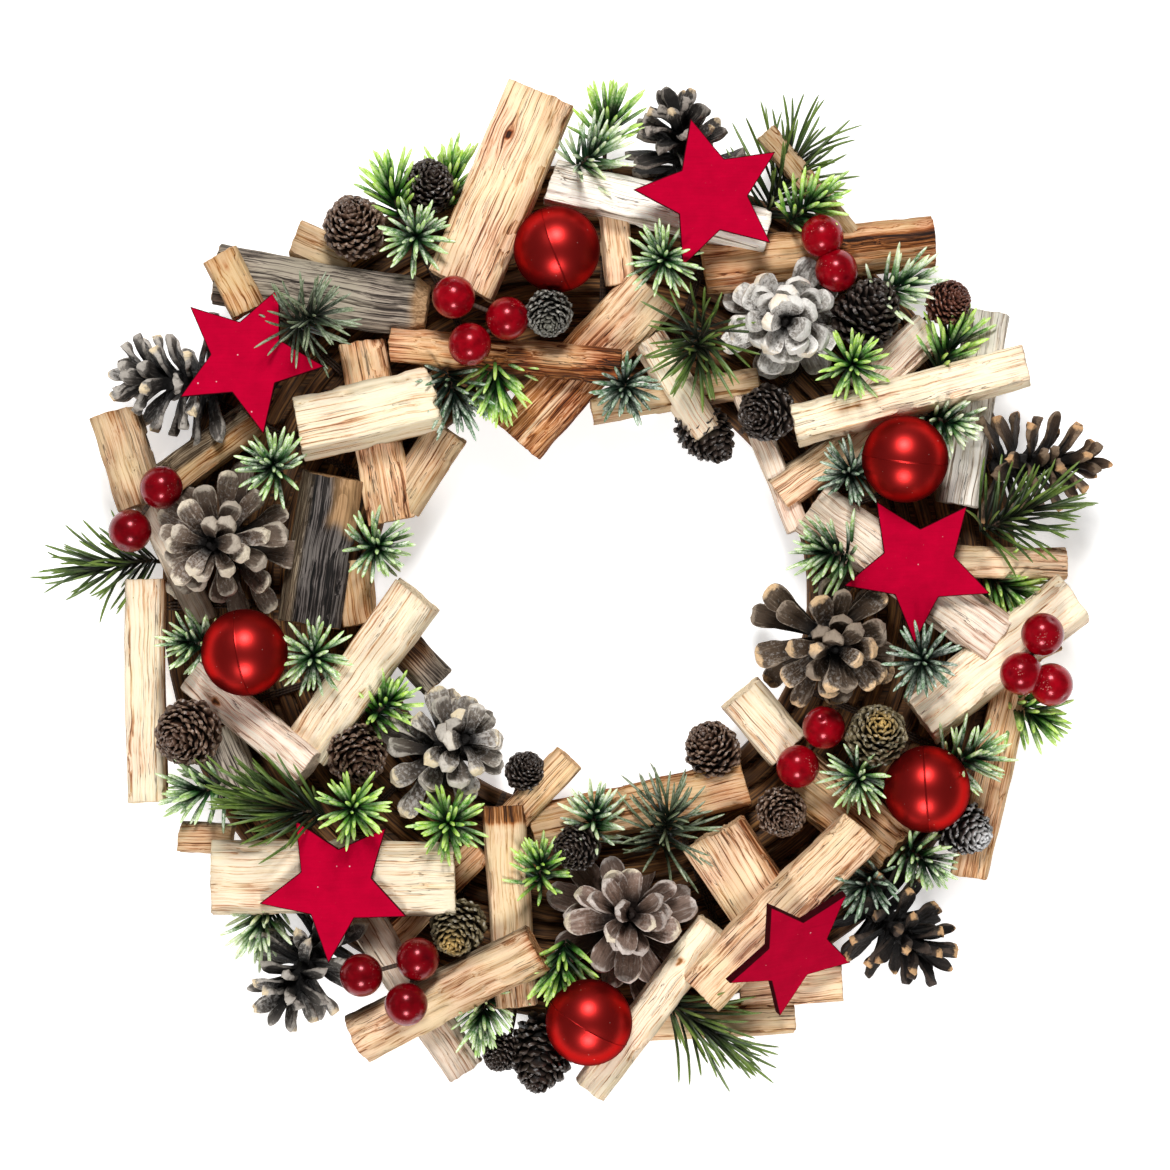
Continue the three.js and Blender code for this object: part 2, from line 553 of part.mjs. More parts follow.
// Named mesh of a finished solid.
const group = new THREE.Group();
function finish(name, solid, look) {
  const body = mainBody(solid).simplify(SMALLEST_EDGE);
  const { vertProperties, triVerts, numProp } = body.getMesh();
  const positions = new Float32Array((vertProperties.length / numProp) * 3);
  for (let i = 0; i < positions.length / 3; i += 1) {
    for (let axis = 0; axis < 3; axis += 1) positions[3 * i + axis] = vertProperties[numProp * i + axis];
  }
  const geometry = new THREE.BufferGeometry();
  geometry.setAttribute('position', new THREE.BufferAttribute(positions, 3));
  geometry.setIndex(new THREE.BufferAttribute(new Uint32Array(triVerts), 1));
  geometry.computeVertexNormals();
  const mesh = new THREE.Mesh(geometry, new THREE.MeshStandardMaterial({ metalness: 0, ...LOOKS[look] }));
  mesh.name = name;
  group.add(mesh);
}

// Backing ring: flat underneath, bevelled edges.
const ringRows = (grow) => [
  [RING.inner - grow, -grow], [RING.outer - RING.edge + grow / 2, -grow],
  [RING.outer + grow, RING.edge - grow / 2], [RING.outer + grow, RING.height - RING.edge + grow / 2],
  [RING.outer - RING.edge + grow / 2, RING.height + grow], [RING.inner - grow, RING.height + grow],
  [RING.inner - grow, -grow]];
const ringShape = (grow) => spindle(ringRows(grow), RING.sides);
const ring = keep('backing_ring', ringShape(0), 'backing', ringShape(CLEARANCE));

STARS.forEach((row, i) => keep(
  `star_${i + 1}`, starSolid(row, 0), 'star', starSolid(row, CLEARANCE)));

BAUBLES.forEach(([x, y, height], i) => {
  const centre = place(x, y, height);
  const neckTop = centre.clone().setZ(height - BAUBLE.radius + BAUBLE.neckSunk);
  const neck = (grow) => wireBar(
    neckTop.clone().setZ(neckTop.z - BAUBLE.neckLength - grow), neckTop, BAUBLE.neck + grow);
  const shape = (grow) => join([
    ball(BAUBLE.radius + grow * 1.2, BAUBLE.around, BAUBLE.down, centre), neck(grow)]);
  keep(`bauble_${i + 1}`, shape(0), 'bauble', shape(CLEARANCE));
});

BERRY_PICKS.forEach((berries, i) => {
  const centres = berries.map(([x, y, height]) => place(x, y, height));
  const shape = (grow) => join([
    ...centres.map((centre) => ball(BERRY.radius + grow * 1.2, BERRY.around, BERRY.down, centre)),
    ...centres.slice(1).map((centre, k) => wireBar(centres[k], centre, WIRE.half + grow))]);
  keep(`berry_pick_${i + 1}`, shape(0), 'berry', shape(CLEARANCE));
});

const coneEntries = LARGE_CONES.map((row) => {
  const [name, x, y, height, radius, length, direction, rise] = row;
  const frame = coneFrame(place(x, y, height), length, direction, rise);
  const entry = keep(name, coneCore(radius, length, frame, 0), 'cone',
    coneCore(radius, length, frame, CLEARANCE));
  return { entry, row, frame };
});

const smallConeEntries = SMALL_CONE_WIRES.map((rows, i) => keep(
  `small_cones_${i + 1}`, join(rows.map((row) => smallCone(row, 0))), 'small_cone',
  join(rows.map((row) => smallCone(row, CLEARANCE)))));

// Wood from the front layer to the back, each body cut clear of those above it.
const middleHeight = (blocks) => blocks[0][6] + blocks[0][7];
let blockNumber = 0;
const numbered = Object.entries(WOOD).map(([name, blocks]) => [
  name, blocks.map((block) => [block, (blockNumber += 1)])]);
numbered.sort(([, a], [, b]) => middleHeight(b[0]) - middleHeight(a[0]));
for (const [name, blocks] of numbered) {
  const shape = (grow) => join(blocks.map(([block, number]) => woodBlock(block, number, grow)));
  keep(name, mainBody(cutByPlaced(shape(0), null)), woodLook(name), shape(CLEARANCE));
}

seed(5);
for (const { entry, row, frame } of coneEntries) {
  entry.solid = largeCone(entry, row, frame);
  entry.box = entry.solid.boundingBox();
}

const wireRuns = [];
smallConeEntries.forEach((entry, i) => {
  const tops = SMALL_CONE_WIRES[i].map(([x, y, height, steps]) => place(
    x, y, height - SMALL_CONE.wireSeat * steps * STEP));
  const { solid, run } = onWire(tops, [entry.solid], WIRE.cones, entry);
  entry.solid = solid;
  entry.box = solid.boundingBox();
  wireRuns.push(...run);
});
GREENERY.forEach((rows, i) => {
  seed(420 + i);
  const sprigs = rows.map((row) => sprig(row));
  const { solid, run } = onWire(
    sprigs.map(({ head }) => head), sprigs.map((one) => one.solid), WIRE.greenery, null);
  keep(`greenery_${i + 1}`, solid, 'needles');
  wireRuns.push(...run);
});

// Slots in the ring, open to the front, for the wires pushed into it.
for (const [a, b] of wireRuns) {
  const slot = hullOf([a, b].flatMap((end) => [-1, 1].flatMap((sx) => [-1, 1].flatMap((sy) => [
    vector(end.x + sx * WIRE.slot, end.y + sy * WIRE.slot, a.z - WIRE.half - CLEARANCE),
    vector(end.x + sx * WIRE.slot, end.y + sy * WIRE.slot, RING.height + 1)]))));
  ring.solid = ring.solid.subtract(slot);
}

for (const { name, solid, look } of placed) finish(name, solid, look);

const bounds = new THREE.Box3().setFromObject(group);
for (const mesh of group.children) {
  mesh.geometry.translate(-(bounds.min.x + bounds.max.x) / 2, -(bounds.min.y + bounds.max.y) / 2, 0);
}

export default group;
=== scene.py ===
"""Looks of a christmas wreath: split kindling, painted stars, satin baubles, glossy berries,
pine cones and sprigs of artificial fir on a bound vine ring, seen from straight above."""
import math
from functools import partial
from itertools import product

import bpy
import numpy as np
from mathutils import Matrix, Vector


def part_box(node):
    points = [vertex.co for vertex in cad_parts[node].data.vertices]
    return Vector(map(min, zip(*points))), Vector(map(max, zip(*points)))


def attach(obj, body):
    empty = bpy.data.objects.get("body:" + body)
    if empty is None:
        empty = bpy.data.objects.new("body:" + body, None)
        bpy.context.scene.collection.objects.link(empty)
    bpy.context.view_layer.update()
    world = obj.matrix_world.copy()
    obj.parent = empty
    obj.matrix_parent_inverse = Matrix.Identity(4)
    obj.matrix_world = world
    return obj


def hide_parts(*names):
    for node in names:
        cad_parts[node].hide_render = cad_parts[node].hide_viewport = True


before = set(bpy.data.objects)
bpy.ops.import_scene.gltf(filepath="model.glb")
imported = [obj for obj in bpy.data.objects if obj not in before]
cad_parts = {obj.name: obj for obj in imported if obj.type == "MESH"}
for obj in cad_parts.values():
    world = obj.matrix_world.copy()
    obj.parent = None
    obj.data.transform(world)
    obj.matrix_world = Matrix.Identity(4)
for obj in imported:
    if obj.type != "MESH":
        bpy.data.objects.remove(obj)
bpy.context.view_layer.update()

# The plan is laid out in steps, x to the right and y down the sheet; lengths are millimetres.
STEP = 0.345
PLAN_MIDDLE = (590, 592)
MM = 0.001
TABLE_GAP = 0.1
ring_low, ring_high = (np.array(corner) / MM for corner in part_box("backing_ring"))
RING_CENTRE = (ring_low + ring_high) / 2 * (1, 1, 0)

RING = {"inner": 76, "outer": 150, "top": 12, "strand": 2.9, "across": 11, "bindings": 16,
        "binding_wire": 0.38, "segments": 97}
STICK = {"widened": 1.03, "broken_corner": 0.5, "worn_edge": 1.3, "point_spacing": 0.95,
         "row_spacing": 1.5}
STAR = {"radius": 26.5, "waist": 0.48, "thickness": 3, "points": 5}
BAUBLE = {"radius": 15, "seam": 0.13, "neck_length": 3.4, "rows": 48, "around": 88}
BERRY = {"radius": 7.4, "dimple": 0.5, "wire": 0.75, "rows": 34, "around": 56}
SMALL_CONE = {"scales": 104, "around": 8, "lean": 32}
OPEN_SCALE = {"rows": 14, "around": 16}
NEEDLE = {"reach": 12.84, "thick": 0.72, "long_thick": 0.54, "long_count": 64, "twig": 11,
          "profile": [(0, 0.62), (0.15, 0.8), (0.4, 0.95), (0.65, 1.0), (0.84, 0.86), (0.95, 0.6),
                      (1.0, 0.15)]}
STEM = {"margin": 6, "points": 14, "cone_wire": 0.7, "sprig_wire": 0.75}
CAMERA = {"height": 1500, "sharp_height": 30, "picture": 1170, "sensor": 36}
TABLE = {"half": 2.5, "colour": "#F7F7F7", "glow": 0.5}
WORLD_STRENGTH = 0.13

# Every kind of piece draws its unevenness from seeds of its own, counted up from these.
SEEDS = {"ring": 5, "star": 20, "open_cone": 40, "sprig": 60, "berry": 80, "small_cone": 700,
         "wood": 900, "wood_roll": 3000}

# Edges that turn by more degrees than this stay crisp.
CREASE = {"wood": 40, "star": 38, "open_cone": 34, "smooth": 60}

# Soft round light: direction in the plan and tilt off the view (degrees), size in metres, power.
LIGHT_DISTANCE = 1.4
LIGHTS = [("light_top", 92, 38, 0.42, 16.5), ("light_bottom", 268, 46, 0.42, 12.2),
          ("light_left", 180, 62, 0.8, 3.4)]

# Star: plan x, plan y, height, turn, lean direction, lean (degrees).
STARS = [
    (709, 198, 45, 105, 300, 4), (250, 360, 40, 66, 0, 0), (917, 566, 35.5, 51, 200, 2),
    (792, 948, 41.2, 51, -45, 44), (337, 884, 40, 49, 0, 0),
]

# Bauble: plan x, plan y, height of the middle, turn of the mould seam (degrees).
BAUBLES = [
    (557, 251, 38, 20), (903, 460, 40, 84), (925, 788, 38, 4), (247, 652, 41, 10),
    (589, 1020, 38, 60),
]

# Berry picks: plan x, plan y and height of every berry on one pick.
BERRY_PICKS = [
    [(455, 300, 45), (508, 321, 44), (471, 347, 46)],
    [(821, 238, 37.2), (835, 272, 37.6)],
    [(1039, 634, 41.5), (1018, 673, 41), (1049, 684, 38)],
    [(823, 727, 35), (797, 766, 34.6)],
    [(363, 972, 42), (419, 956, 43), (408, 1000, 45.4)],
    [(163, 488, 36.2), (131, 531, 33)],
]

# The picks whose berries are a darker red, counted from 0.
DARK_PICKS = (4, 5)

# Open cone: plan x, plan y, height of the middle, radius and length in mm, direction and
# rise of the tip (degrees), width of a scale end, shape of its scales, finish.
LARGE_CONES = {
    "cone_upper_right": (785, 319, 32, 22.5, 38, 250, 84, 8.2, "plate", "cone_whitewashed"),
    "cone_top": (682, 146, 24.6, 21, 36, 100, 44, 6.2, "finger", "cone_dark_frosted"),
    "cone_right": (1041, 463, 22.6, 21.5, 36, 4, 26, 5.8, "finger", "cone_brown_tan_tips"),
    "cone_lower_right": (829, 642, 31.6, 26.5, 38, 300, 80, 7.4, "tongue", "cone_dark_dusted"),
    "cone_bottom_right": (898, 931, 26, 22, 34, 318, 38, 5.6, "finger", "cone_black_tan_tips"),
    "cone_bottom": (627, 919, 31, 27, 36, 60, 78, 7.8, "lozenge", "cone_taupe"),
    "cone_left_low": (450, 748, 28, 23, 36, 30, 60, 7.2, "tongue", "cone_grey"),
    "cone_left_high": (222, 542, 32.4, 26, 40, 200, 80, 7.2, "tongue", "cone_brown_frosted"),
    "cone_top_left": (175, 380, 22, 23.5, 36, 174, 22, 6.8, "finger", "cone_grey_tan_tips"),
    "cone_bottom_left": (303, 970, 27, 23.5, 40, 238, 50, 5.6, "finger", "cone_grey_tan_tips"),
}

# Closed cones on shared wires: plan x, plan y, height, radius in steps, direction and rise
# of the tip (degrees), length against width, finish.
SMALL_CONE_WIRES = [
    [(355, 226, 37, 28, 100, 66, 1.08, "brown"), (429, 184, 30, 24, 60, 66, 1.05, "dark"),
     (549, 318, 44, 21, 270, 60, 1.1, "dusted")],
    [(868, 312, 33, 30, 60, 50, 1.2, "dark"), (949, 302, 34, 20, 30, 60, 1.05, "russet"),
     (765, 414, 30, 26, 200, 60, 1.1, "dark"), (708, 434, 21, 25, 310, 30, 1.2, "dark")],
    [(876, 732, 40, 27, 80, 70, 1.1, "olive"), (782, 813, 34, 22.5, 300, 70, 1.05, "brown"),
     (966, 829, 23, 26, 330, 50, 1.1, "frosted"), (712, 748, 24, 25, 120, 50, 1.1, "brown")],
    [(575, 848, 32, 21, 200, 60, 1, "dark"), (457, 929, 33, 25, 250, 60, 1.1, "olive"),
     (541, 1057, 23, 30, 260, 40, 1.2, "dark"), (500, 1056, 24, 17, 230, 50, 1, "dark"),
     (526, 770, 27, 18, 60, 60, 1, "dark")],
    [(187, 734, 34, 30, 210, 66, 1.05, "brown"), (358, 756, 30, 28, 300, 60, 1.1, "brown")],
]

# Split wood. Each block: plan x and y of both ends, width in steps, thickness in mm, height
# of both end middles, section, finish, and what marks it. Blocks of one entry are bonded.
# The marks a and b are the first and the second end; left and right are as seen from a to b.
WOOD = {
    "wood_top_plank": [
        (542, 93, 459, 287, 74, 15, 31, 34, "split", "tan", "sawn knot rolled")],
    "wood_top_pale": [
        (549, 181, 768, 234, 47, 13, 27, 28, "split", "whitish", "bright"),
        (611, 206, 620, 284, 32, 12, 20, 20, "split", "tan", "")],
    "wood_grey_log": [
        (214, 275, 428, 309, 60, 20.6, 26, 26, "log", "grey", "rough tan_ends"),
        (220, 254, 251, 314, 38, 12, 34, 33, "split", "orange", "char_a dim sawn"),
        (292, 236, 350, 262, 38, 12, 20, 20, "split", "tan", "dim")],
    "wood_left_cream": [
        (298, 430, 437, 398, 62, 14, 32, 32, "split", "cream", "torn_b rolled_back"),
        (358, 340, 390, 522, 51, 13.4, 19.2, 19.2, "split", "orange", "rough"),
        (447, 427, 397, 505, 46, 12, 19, 18.6, "split", "tan", "bark_right dim")],
    "wood_scorched_pair": [
        (389, 345, 621, 367, 37, 11, 31.6, 31.6, "half", "orange", "scorched"),
        (653, 286, 513, 438, 66, 13, 21, 19.4, "split", "tan", "scorched_b rough")],
    "wood_upper_right_under": [
        (647, 338, 708, 436, 35, 12, 19, 24, "split", "cream", ""),
        (590, 407, 762, 380, 30, 11, 18.4, 18.4, "split", "tan", "dim"),
        (745, 388, 800, 530, 26, 11, 18.4, 18.4, "split", "pink", "")],
    "wood_half_log": [
        (703, 267, 937, 241, 54, 14, 24, 24, "half", "orange", "char_b"),
        (765, 130, 858, 240, 25, 10, 22, 22, "split", "tan", "dim")],
    "wood_right_cream": [
        (793, 426, 1027, 366, 42, 13.4, 32, 32, "split", "cream", "char_a rolled_back"),
        (932, 325, 864, 394, 42, 14, 20, 19.6, "split", "pink", "bright"),
        (779, 495, 878, 424, 42, 13.4, 19.4, 19.6, "split", "tan", "bark_left"),
        (990, 310, 960, 505, 46, 13.8, 19.4, 19.4, "split", "whitish", "bark_right")],
    "wood_right_pale": [
        (812, 505, 1000, 640, 56, 14, 26, 26, "split", "pink", "sawn"),
        (905, 561, 1069, 565, 34, 12, 23, 23, "split", "tan", "bright")],
    "wood_right_long": [
        (920, 720, 1076, 596, 58, 14, 26, 26, "split", "cream", "rough"),
        (1023, 652, 972, 880, 40, 12, 18.6, 18.6, "split", "orange", "rolled"),
        (1030, 656, 1062, 640, 26, 8, 22, 22, "split", "orange", "")],
    "wood_inner_yellow": [
        (740, 693, 791, 752, 52, 18, 21.5, 21.5, "split", "cream", "")],
    "wood_lower_bar": [
        (530, 832, 748, 784, 50, 12, 18.6, 18.6, "split", "orange", "dim dark_low dark_right"),
        (570, 758, 512, 822, 35, 12, 22, 21, "split", "orange", "rough")],
    "wood_lower_right_long": [
        (862, 827, 700, 993, 54, 14, 35, 35, "split", "tan", "rough"),
        (712, 834, 758, 906, 73, 18, 25, 24, "split", "tan", "torn_a dark_right rolled"),
        (797, 773, 893, 855, 62, 11, 18.4, 18.4, "split", "orange", "rough torn_b")],
    "wood_bottom_pale": [
        (713, 924, 588, 1092, 38, 11, 30.5, 26, "split", "cream", "knot rough"),
        (740, 992, 845, 984, 46, 11, 18, 18, "split", "tan", "bark_left bright"),
        (642, 1028, 796, 1018, 36, 12, 18.6, 18.6, "split", "tan", "")],
    "wood_split_log": [
        (356, 1041, 538, 945, 54, 14, 29.4, 38.6, "half", "tan", "bark_left dark_b"),
        (503, 806, 516, 1009, 45, 14, 24, 24, "split", "tan", "dark_a"),
        (358, 912, 465, 1075, 42, 13, 19.2, 19.2, "split", "pink", "dim"),
        (480, 850, 380, 950, 32, 11, 18.4, 18.4, "split", "orange", "scorched")],
    "wood_lower_left_pale": [
        (211, 875, 456, 878, 76, 12, 32, 32, "split", "cream", "sawn"),
        (177, 838, 232, 840, 33, 12, 22, 24, "split", "tan", "dim bark_left")],
    "wood_left_upright": [
        (141, 579, 143, 805, 44, 15.6, 17.6, 17.6, "split", "cream", "sawn dark_right")],
    "wood_left_half_round": [
        (112, 410, 142, 506, 52, 14, 24, 24, "half", "tan", "bark_left dim rough"),
        (136, 486, 202, 622, 30, 11, 18.4, 18.4, "split", "pink", "dim"),
        (152, 490, 252, 416, 40, 12, 19, 20, "split", "orange", "bark_half dim rough")],
    "wood_charred": [
        (331, 474, 308, 626, 60, 20, 22.5, 22.5, "split", "charred", "rough tan_a bark_right rolled_back"),
        (349, 560, 358, 626, 38, 11, 20, 20, "split", "orange", "dim")],
    "wood_left_yellow": [
        (417, 592, 304, 750, 54, 14, 33, 24, "split", "cream", "sawn rolled"),
        (390, 634, 438, 684, 38, 14, 20, 19.6, "split", "grey", "scorched_a dim"),
        (192, 674, 310, 770, 43, 13, 22, 32, "split", "pink", "sawn knot bright"),
        (212, 728, 242, 800, 48, 15, 20, 20, "log", "grey", "")],
}

# Sprigs on shared wires: plan x, plan y, height, direction and rise of the twig, opening of
# the fan (degrees), reach of a long spray in mm (0 makes a short sprig), colour.
GREENERY = [
    [(394, 196, 30, 106, 26, 48, 0, "lime"), (417, 239, 40, 0, 84, 82, 0, "frosted"),
     (448, 184, 23, 78, 20, 50, 0, "lime"), (306, 324, 43, 20, 62, 85, 19, "sage"),
     (274, 466, 38, 130, 60, 80, 0, "frosted"), (377, 547, 34, 0, 58, 80, 0, "frosted"),
     (124, 562, 14, 186, 4, 60, 22, "long")],
    [(608, 124, 28, 80, 24, 52, 0, "lime"), (590, 157, 33, 40, 40, 60, 0, "white"),
     (663, 262, 42, 0, 84, 80, 0, "frosted"), (778, 190, 17, 62, 12, 72, 28, "long"),
     (806, 208, 31, 40, 30, 55, 0, "lime")],
    [(454, 392, 32, 290, 30, 58, 0, "blue"), (497, 378, 32, 276, 10, 50, 0, "lime"),
     (625, 388, 34, 270, 60, 75, 0, "blue"), (700, 340, 36, 250, 62, 85, 22, "long")],
    [(896, 288, 34, 28, 36, 54, 0, "white"), (850, 366, 42, 0, 84, 82, 0, "lime"),
     (950, 347, 28, 65, 22, 52, 0, "lime"), (946, 422, 33, 340, 40, 66, 0, "white"),
     (1003, 521, 32, 25, 32, 60, 25, "long"), (849, 474, 34, 200, 60, 78, 0, "blue")],
    [(832, 553, 36, 175, 40, 60, 0, "frosted"), (920, 660, 42, 0, 84, 82, 0, "blue"),
     (1008, 586, 20, 330, 18, 52, 0, "lime"), (1030, 712, 24, 330, 35, 55, 0, "lime"),
     (966, 758, 34, 20, 35, 60, 0, "frosted"), (857, 777, 38, 270, 70, 80, 0, "frosted")],
    [(921, 858, 30, 320, 40, 65, 0, "frosted"), (866, 884, 32, 220, 45, 65, 0, "blue"),
     (594, 817, 30, 85, 45, 70, 0, "white"), (665, 832, 30, 80, 55, 85, 22, "sage"),
     (686, 1015, 29, 325, 20, 36, 26, "long")],
    [(541, 868, 34, 90, 50, 70, 0, "lime"), (562, 962, 34, 262, 30, 50, 0, "lime"),
     (450, 822, 40, 0, 80, 80, 0, "lime"), (483, 1010, 26, 260, 35, 60, 0, "frosted"),
     (262, 920, 24, 250, 35, 50, 0, "white")],
    [(355, 806, 46, 0, 80, 80, 0, "lime"), (302, 808, 40, 168, 30, 42, 28, "long"),
     (204, 790, 28, 195, 35, 60, 0, "frosted"), (198, 643, 34, 170, 45, 65, 0, "frosted"),
     (315, 656, 38, 290, 75, 82, 0, "frosted"), (384, 706, 30, 40, 40, 65, 0, "lime")],
]

GOLDEN_TURN = math.pi * (3 - math.sqrt(5))


# Points and directions

def place(x, y, z):
    """A point of the plan in millimetres of the model."""
    return np.array([(x - PLAN_MIDDLE[0]) * STEP, (PLAN_MIDDLE[1] - y) * STEP, z]) + RING_CENTRE


def heading(direction, rise):
    """Unit vector from a direction in the plan and a rise out of it, in degrees."""
    turn, rise = np.radians((direction, rise))
    return np.array([np.cos(rise) * np.cos(turn), np.cos(rise) * np.sin(turn), np.sin(rise)])


def unit(vectors):
    return vectors / np.linalg.norm(vectors, axis=-1, keepdims=True)


def square_to(axis):
    """Two unit vectors square to an axis and to each other; the first lies in the plan."""
    level = np.array([1.0, 0, 0]) if abs(axis[2]) > 0.999 else unit(np.array([-axis[1], axis[0], 0]))
    return level, np.cross(axis, level)


def fan(axis, angles):
    """Unit vectors square to an axis, at angles round it."""
    side, up = square_to(axis)
    return np.cos(angles)[..., None] * side + np.sin(angles)[..., None] * up


def turned(side, up, angle):
    """Two directions square to each other, turned in their own plane."""
    return np.cos(angle) * side + np.sin(angle) * up, np.cos(angle) * up - np.sin(angle) * side


def field(*parts):
    """Vectors for every point of a skin, from parts that change along it, round it or not at all."""
    return np.stack(np.broadcast_arrays(*parts), axis=-1)


def mix(a, b, share):
    return a + (b - a) * share


def ease(low, high, value):
    """Smooth step from 0 to 1 as the value goes from low to high."""
    t = np.clip((value - low) / (high - low), 0, 1)
    return t * t * (3 - 2 * t)


def bell(value, width, power=2):
    """1 where the value is 0, falling off to both sides over about the width."""
    return np.exp(-(value / width) ** power)


def scatter(cells, salt):
    """Repeatable draw from 0 to 1 for each cell of a lattice."""
    n = (cells @ np.array([374761393, 668265263, 1274126177]) + salt * 69069) & 0xFFFFFFFF
    n = ((n ^ (n >> 13)) * 1274126177) & 0xFFFFFFFF
    return ((n ^ (n >> 16)) & 0xFFFF) / 65535


def rumple(points, salt=0):
    """Smooth unevenness from -1 to 1 over points given in cells."""
    cells = np.floor(points).astype(np.int64)
    part = points - cells
    part = part * part * (3 - 2 * part)
    total = 0
    for corner in product((0, 1), repeat=3):
        weight = np.prod(np.where(corner, part, 1 - part), axis=-1)
        total = total + weight * scatter(cells + np.array(corner), salt)
    return total * 2 - 1


# Skins

class Shell:
    """Points, faces and painted-on values of one piece while it is being made.

    lie says where a point lies along, across and into its own stick, scale or needle, in
    millimetres; mark and tone steer its finish."""

    def __init__(self):
        self.count = 0
        self.points, self.lie, self.mark, self.tone = [], [], [], []
        self.faces, self.finish = [], []

    def tube(self, rings, lie, mark, tone=0.5, finish=0, closed=(True, True)):
        """Skin round a row of rings, shaped (rows, around, 3), closed at its ends by fans."""
        rows, around, _ = rings.shape
        start = np.arange(rows - 1)[:, None] * around
        here = np.arange(around)
        onward = (here + 1) % around
        faces = field(start + here, start + onward, start + around + onward, start + around + here)
        faces = faces.reshape(-1, 4).tolist()
        whole = [rings, np.broadcast_to(lie, rings.shape), np.broadcast_to(mark, rings.shape)]
        layers = [layer.reshape(-1, 3) for layer in whole]
        for row, flip, wanted in ((0, True, closed[0]), (rows - 1, False, closed[1])):
            if not wanted:
                continue
            middle = len(layers[0])
            layers = [np.vstack([layer, full[row].mean(axis=0)]) for layer, full in zip(layers, whole)]
            for a, b in zip(row * around + here, row * around + onward):
                faces.append([int(b), int(a), middle] if flip else [int(a), int(b), middle])
        for kept, layer in zip((self.points, self.lie, self.mark), layers):
            kept.append(layer)
        self.tone.append(np.broadcast_to(tone, len(layers[0])))
        self.faces += [[corner + self.count for corner in face] for face in faces]
        self.finish += [finish] * len(faces)
        self.count += len(layers[0])


def make_piece(node, shell, finishes, crease="smooth"):
    """The finished mesh that stands for one node."""
    mesh = bpy.data.meshes.new("finished_" + node)
    points = np.concatenate(shell.points)
    points[:, 2] = np.maximum(points[:, 2], TABLE_GAP)
    mesh.from_pydata(points * MM, [], shell.faces)
    for name, kind, values in (("lie", "FLOAT_VECTOR", shell.lie), ("mark", "FLOAT_VECTOR", shell.mark),
                               ("tone", "FLOAT", shell.tone)):
        layer = mesh.attributes.new(name, kind, "POINT")
        part = "value" if kind == "FLOAT" else "vector"
        layer.data.foreach_set(part, np.concatenate(values).astype(np.float32).ravel())
    for name in finishes:
        mesh.materials.append(finish_of(name))
    mesh.polygons.foreach_set("material_index", shell.finish)
    mesh.shade_smooth()
    mesh.set_sharp_from_angle(angle=math.radians(CREASE[crease]))
    piece = bpy.data.objects.new("finished_" + node, mesh)
    bpy.context.scene.collection.objects.link(piece)
    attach(piece, "root")
    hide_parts(node)


def circle(around, turn=0):
    angle = np.arange(around) * 2 * math.pi / around + turn
    return np.cos(angle), np.sin(angle)


def lathe(foot, axis, heights, radii, around):
    """Rings of a body turned about an axis, from heights and radii along it."""
    side, up = square_to(axis)
    cos, sin = circle(around)
    return foot + heights[:, None, None] * axis + radii[:, None, None] * (
        cos[:, None] * side + sin[:, None] * up)


def rod(shell, path, radii, around=6, finish=0):
    """Round wire or twig along a path of points."""
    path = np.asarray(path, float)
    runs = unit(np.gradient(path, axis=0))
    side, _ = square_to(runs[0])
    cos, sin = circle(around)
    rings = []
    for point, run, radius in zip(path, runs, np.broadcast_to(radii, len(path))):
        side = unit(side - run * (side @ run))
        up = np.cross(run, side)
        rings.append(point + radius * (cos[:, None] * side + sin[:, None] * up))
    steps = np.linalg.norm(np.diff(path, axis=0), axis=1)
    length = np.concatenate([[0], np.cumsum(steps)])
    lie = field(length[:, None], cos * np.mean(radii), sin * np.mean(radii)) + path[0]
    shell.tube(np.array(rings), lie, (0, 0, 0), 0.5, finish)


def curve_through(points, count):
    """Smooth path through given points."""
    points = np.asarray(points, float)
    padded = np.vstack([2 * points[0] - points[1], points, 2 * points[-1] - points[-2]])
    path = []
    for t in np.linspace(0, len(points) - 1 - 1e-6, count):
        k = int(t)
        u = t - k
        p0, p1, p2, p3 = padded[k:k + 4]
        path.append(0.5 * (2 * p1 + (p2 - p0) * u + (2 * p0 - 5 * p1 + 4 * p2 - p3) * u ** 2
                           + (3 * p1 - p0 - 3 * p2 + p3) * u ** 3))
    return np.array(path)


def stem_path(head, axis, back):
    """Wire from a head back along its axis and down into the bound ring."""
    start = head - axis * back
    out = start[:2] - RING_CENTRE[:2]
    distance = np.linalg.norm(out)
    inside = np.clip(distance, RING["inner"] + STEM["margin"], RING["outer"] - STEM["margin"])
    low = np.append(RING_CENTRE[:2] + out / distance * inside, RING["top"] - 1)
    middle = mix(start, low, 0.5) - axis * 2
    middle[2] = max(middle[2], RING["top"])
    return curve_through([head, start, middle, low], STEM["points"])


# Split wood

SECTIONS = {
    "split": np.array([(-0.5, -0.42), (-0.3, -0.5), (0.46, -0.5), (0.5, 0.3), (0.36, 0.5), (-0.42, 0.48)]),
    "half": np.array([(-0.46, -0.5), (0.46, -0.5), (0.5, -0.1), (0.36, 0.3), (0.08, 0.5),
                      (-0.24, 0.42), (-0.5, 0)]),
    "log": 0.5 * np.column_stack(circle(20)),
}
# Relief of a split face: length and width of its unevenness, and how deep it goes.
WOOD_RELIEF = {"fibres": (24, 1.3, 0.24), "waves": (45, 3.3, 0.36), "dents": (7, 2.2, 0.18)}


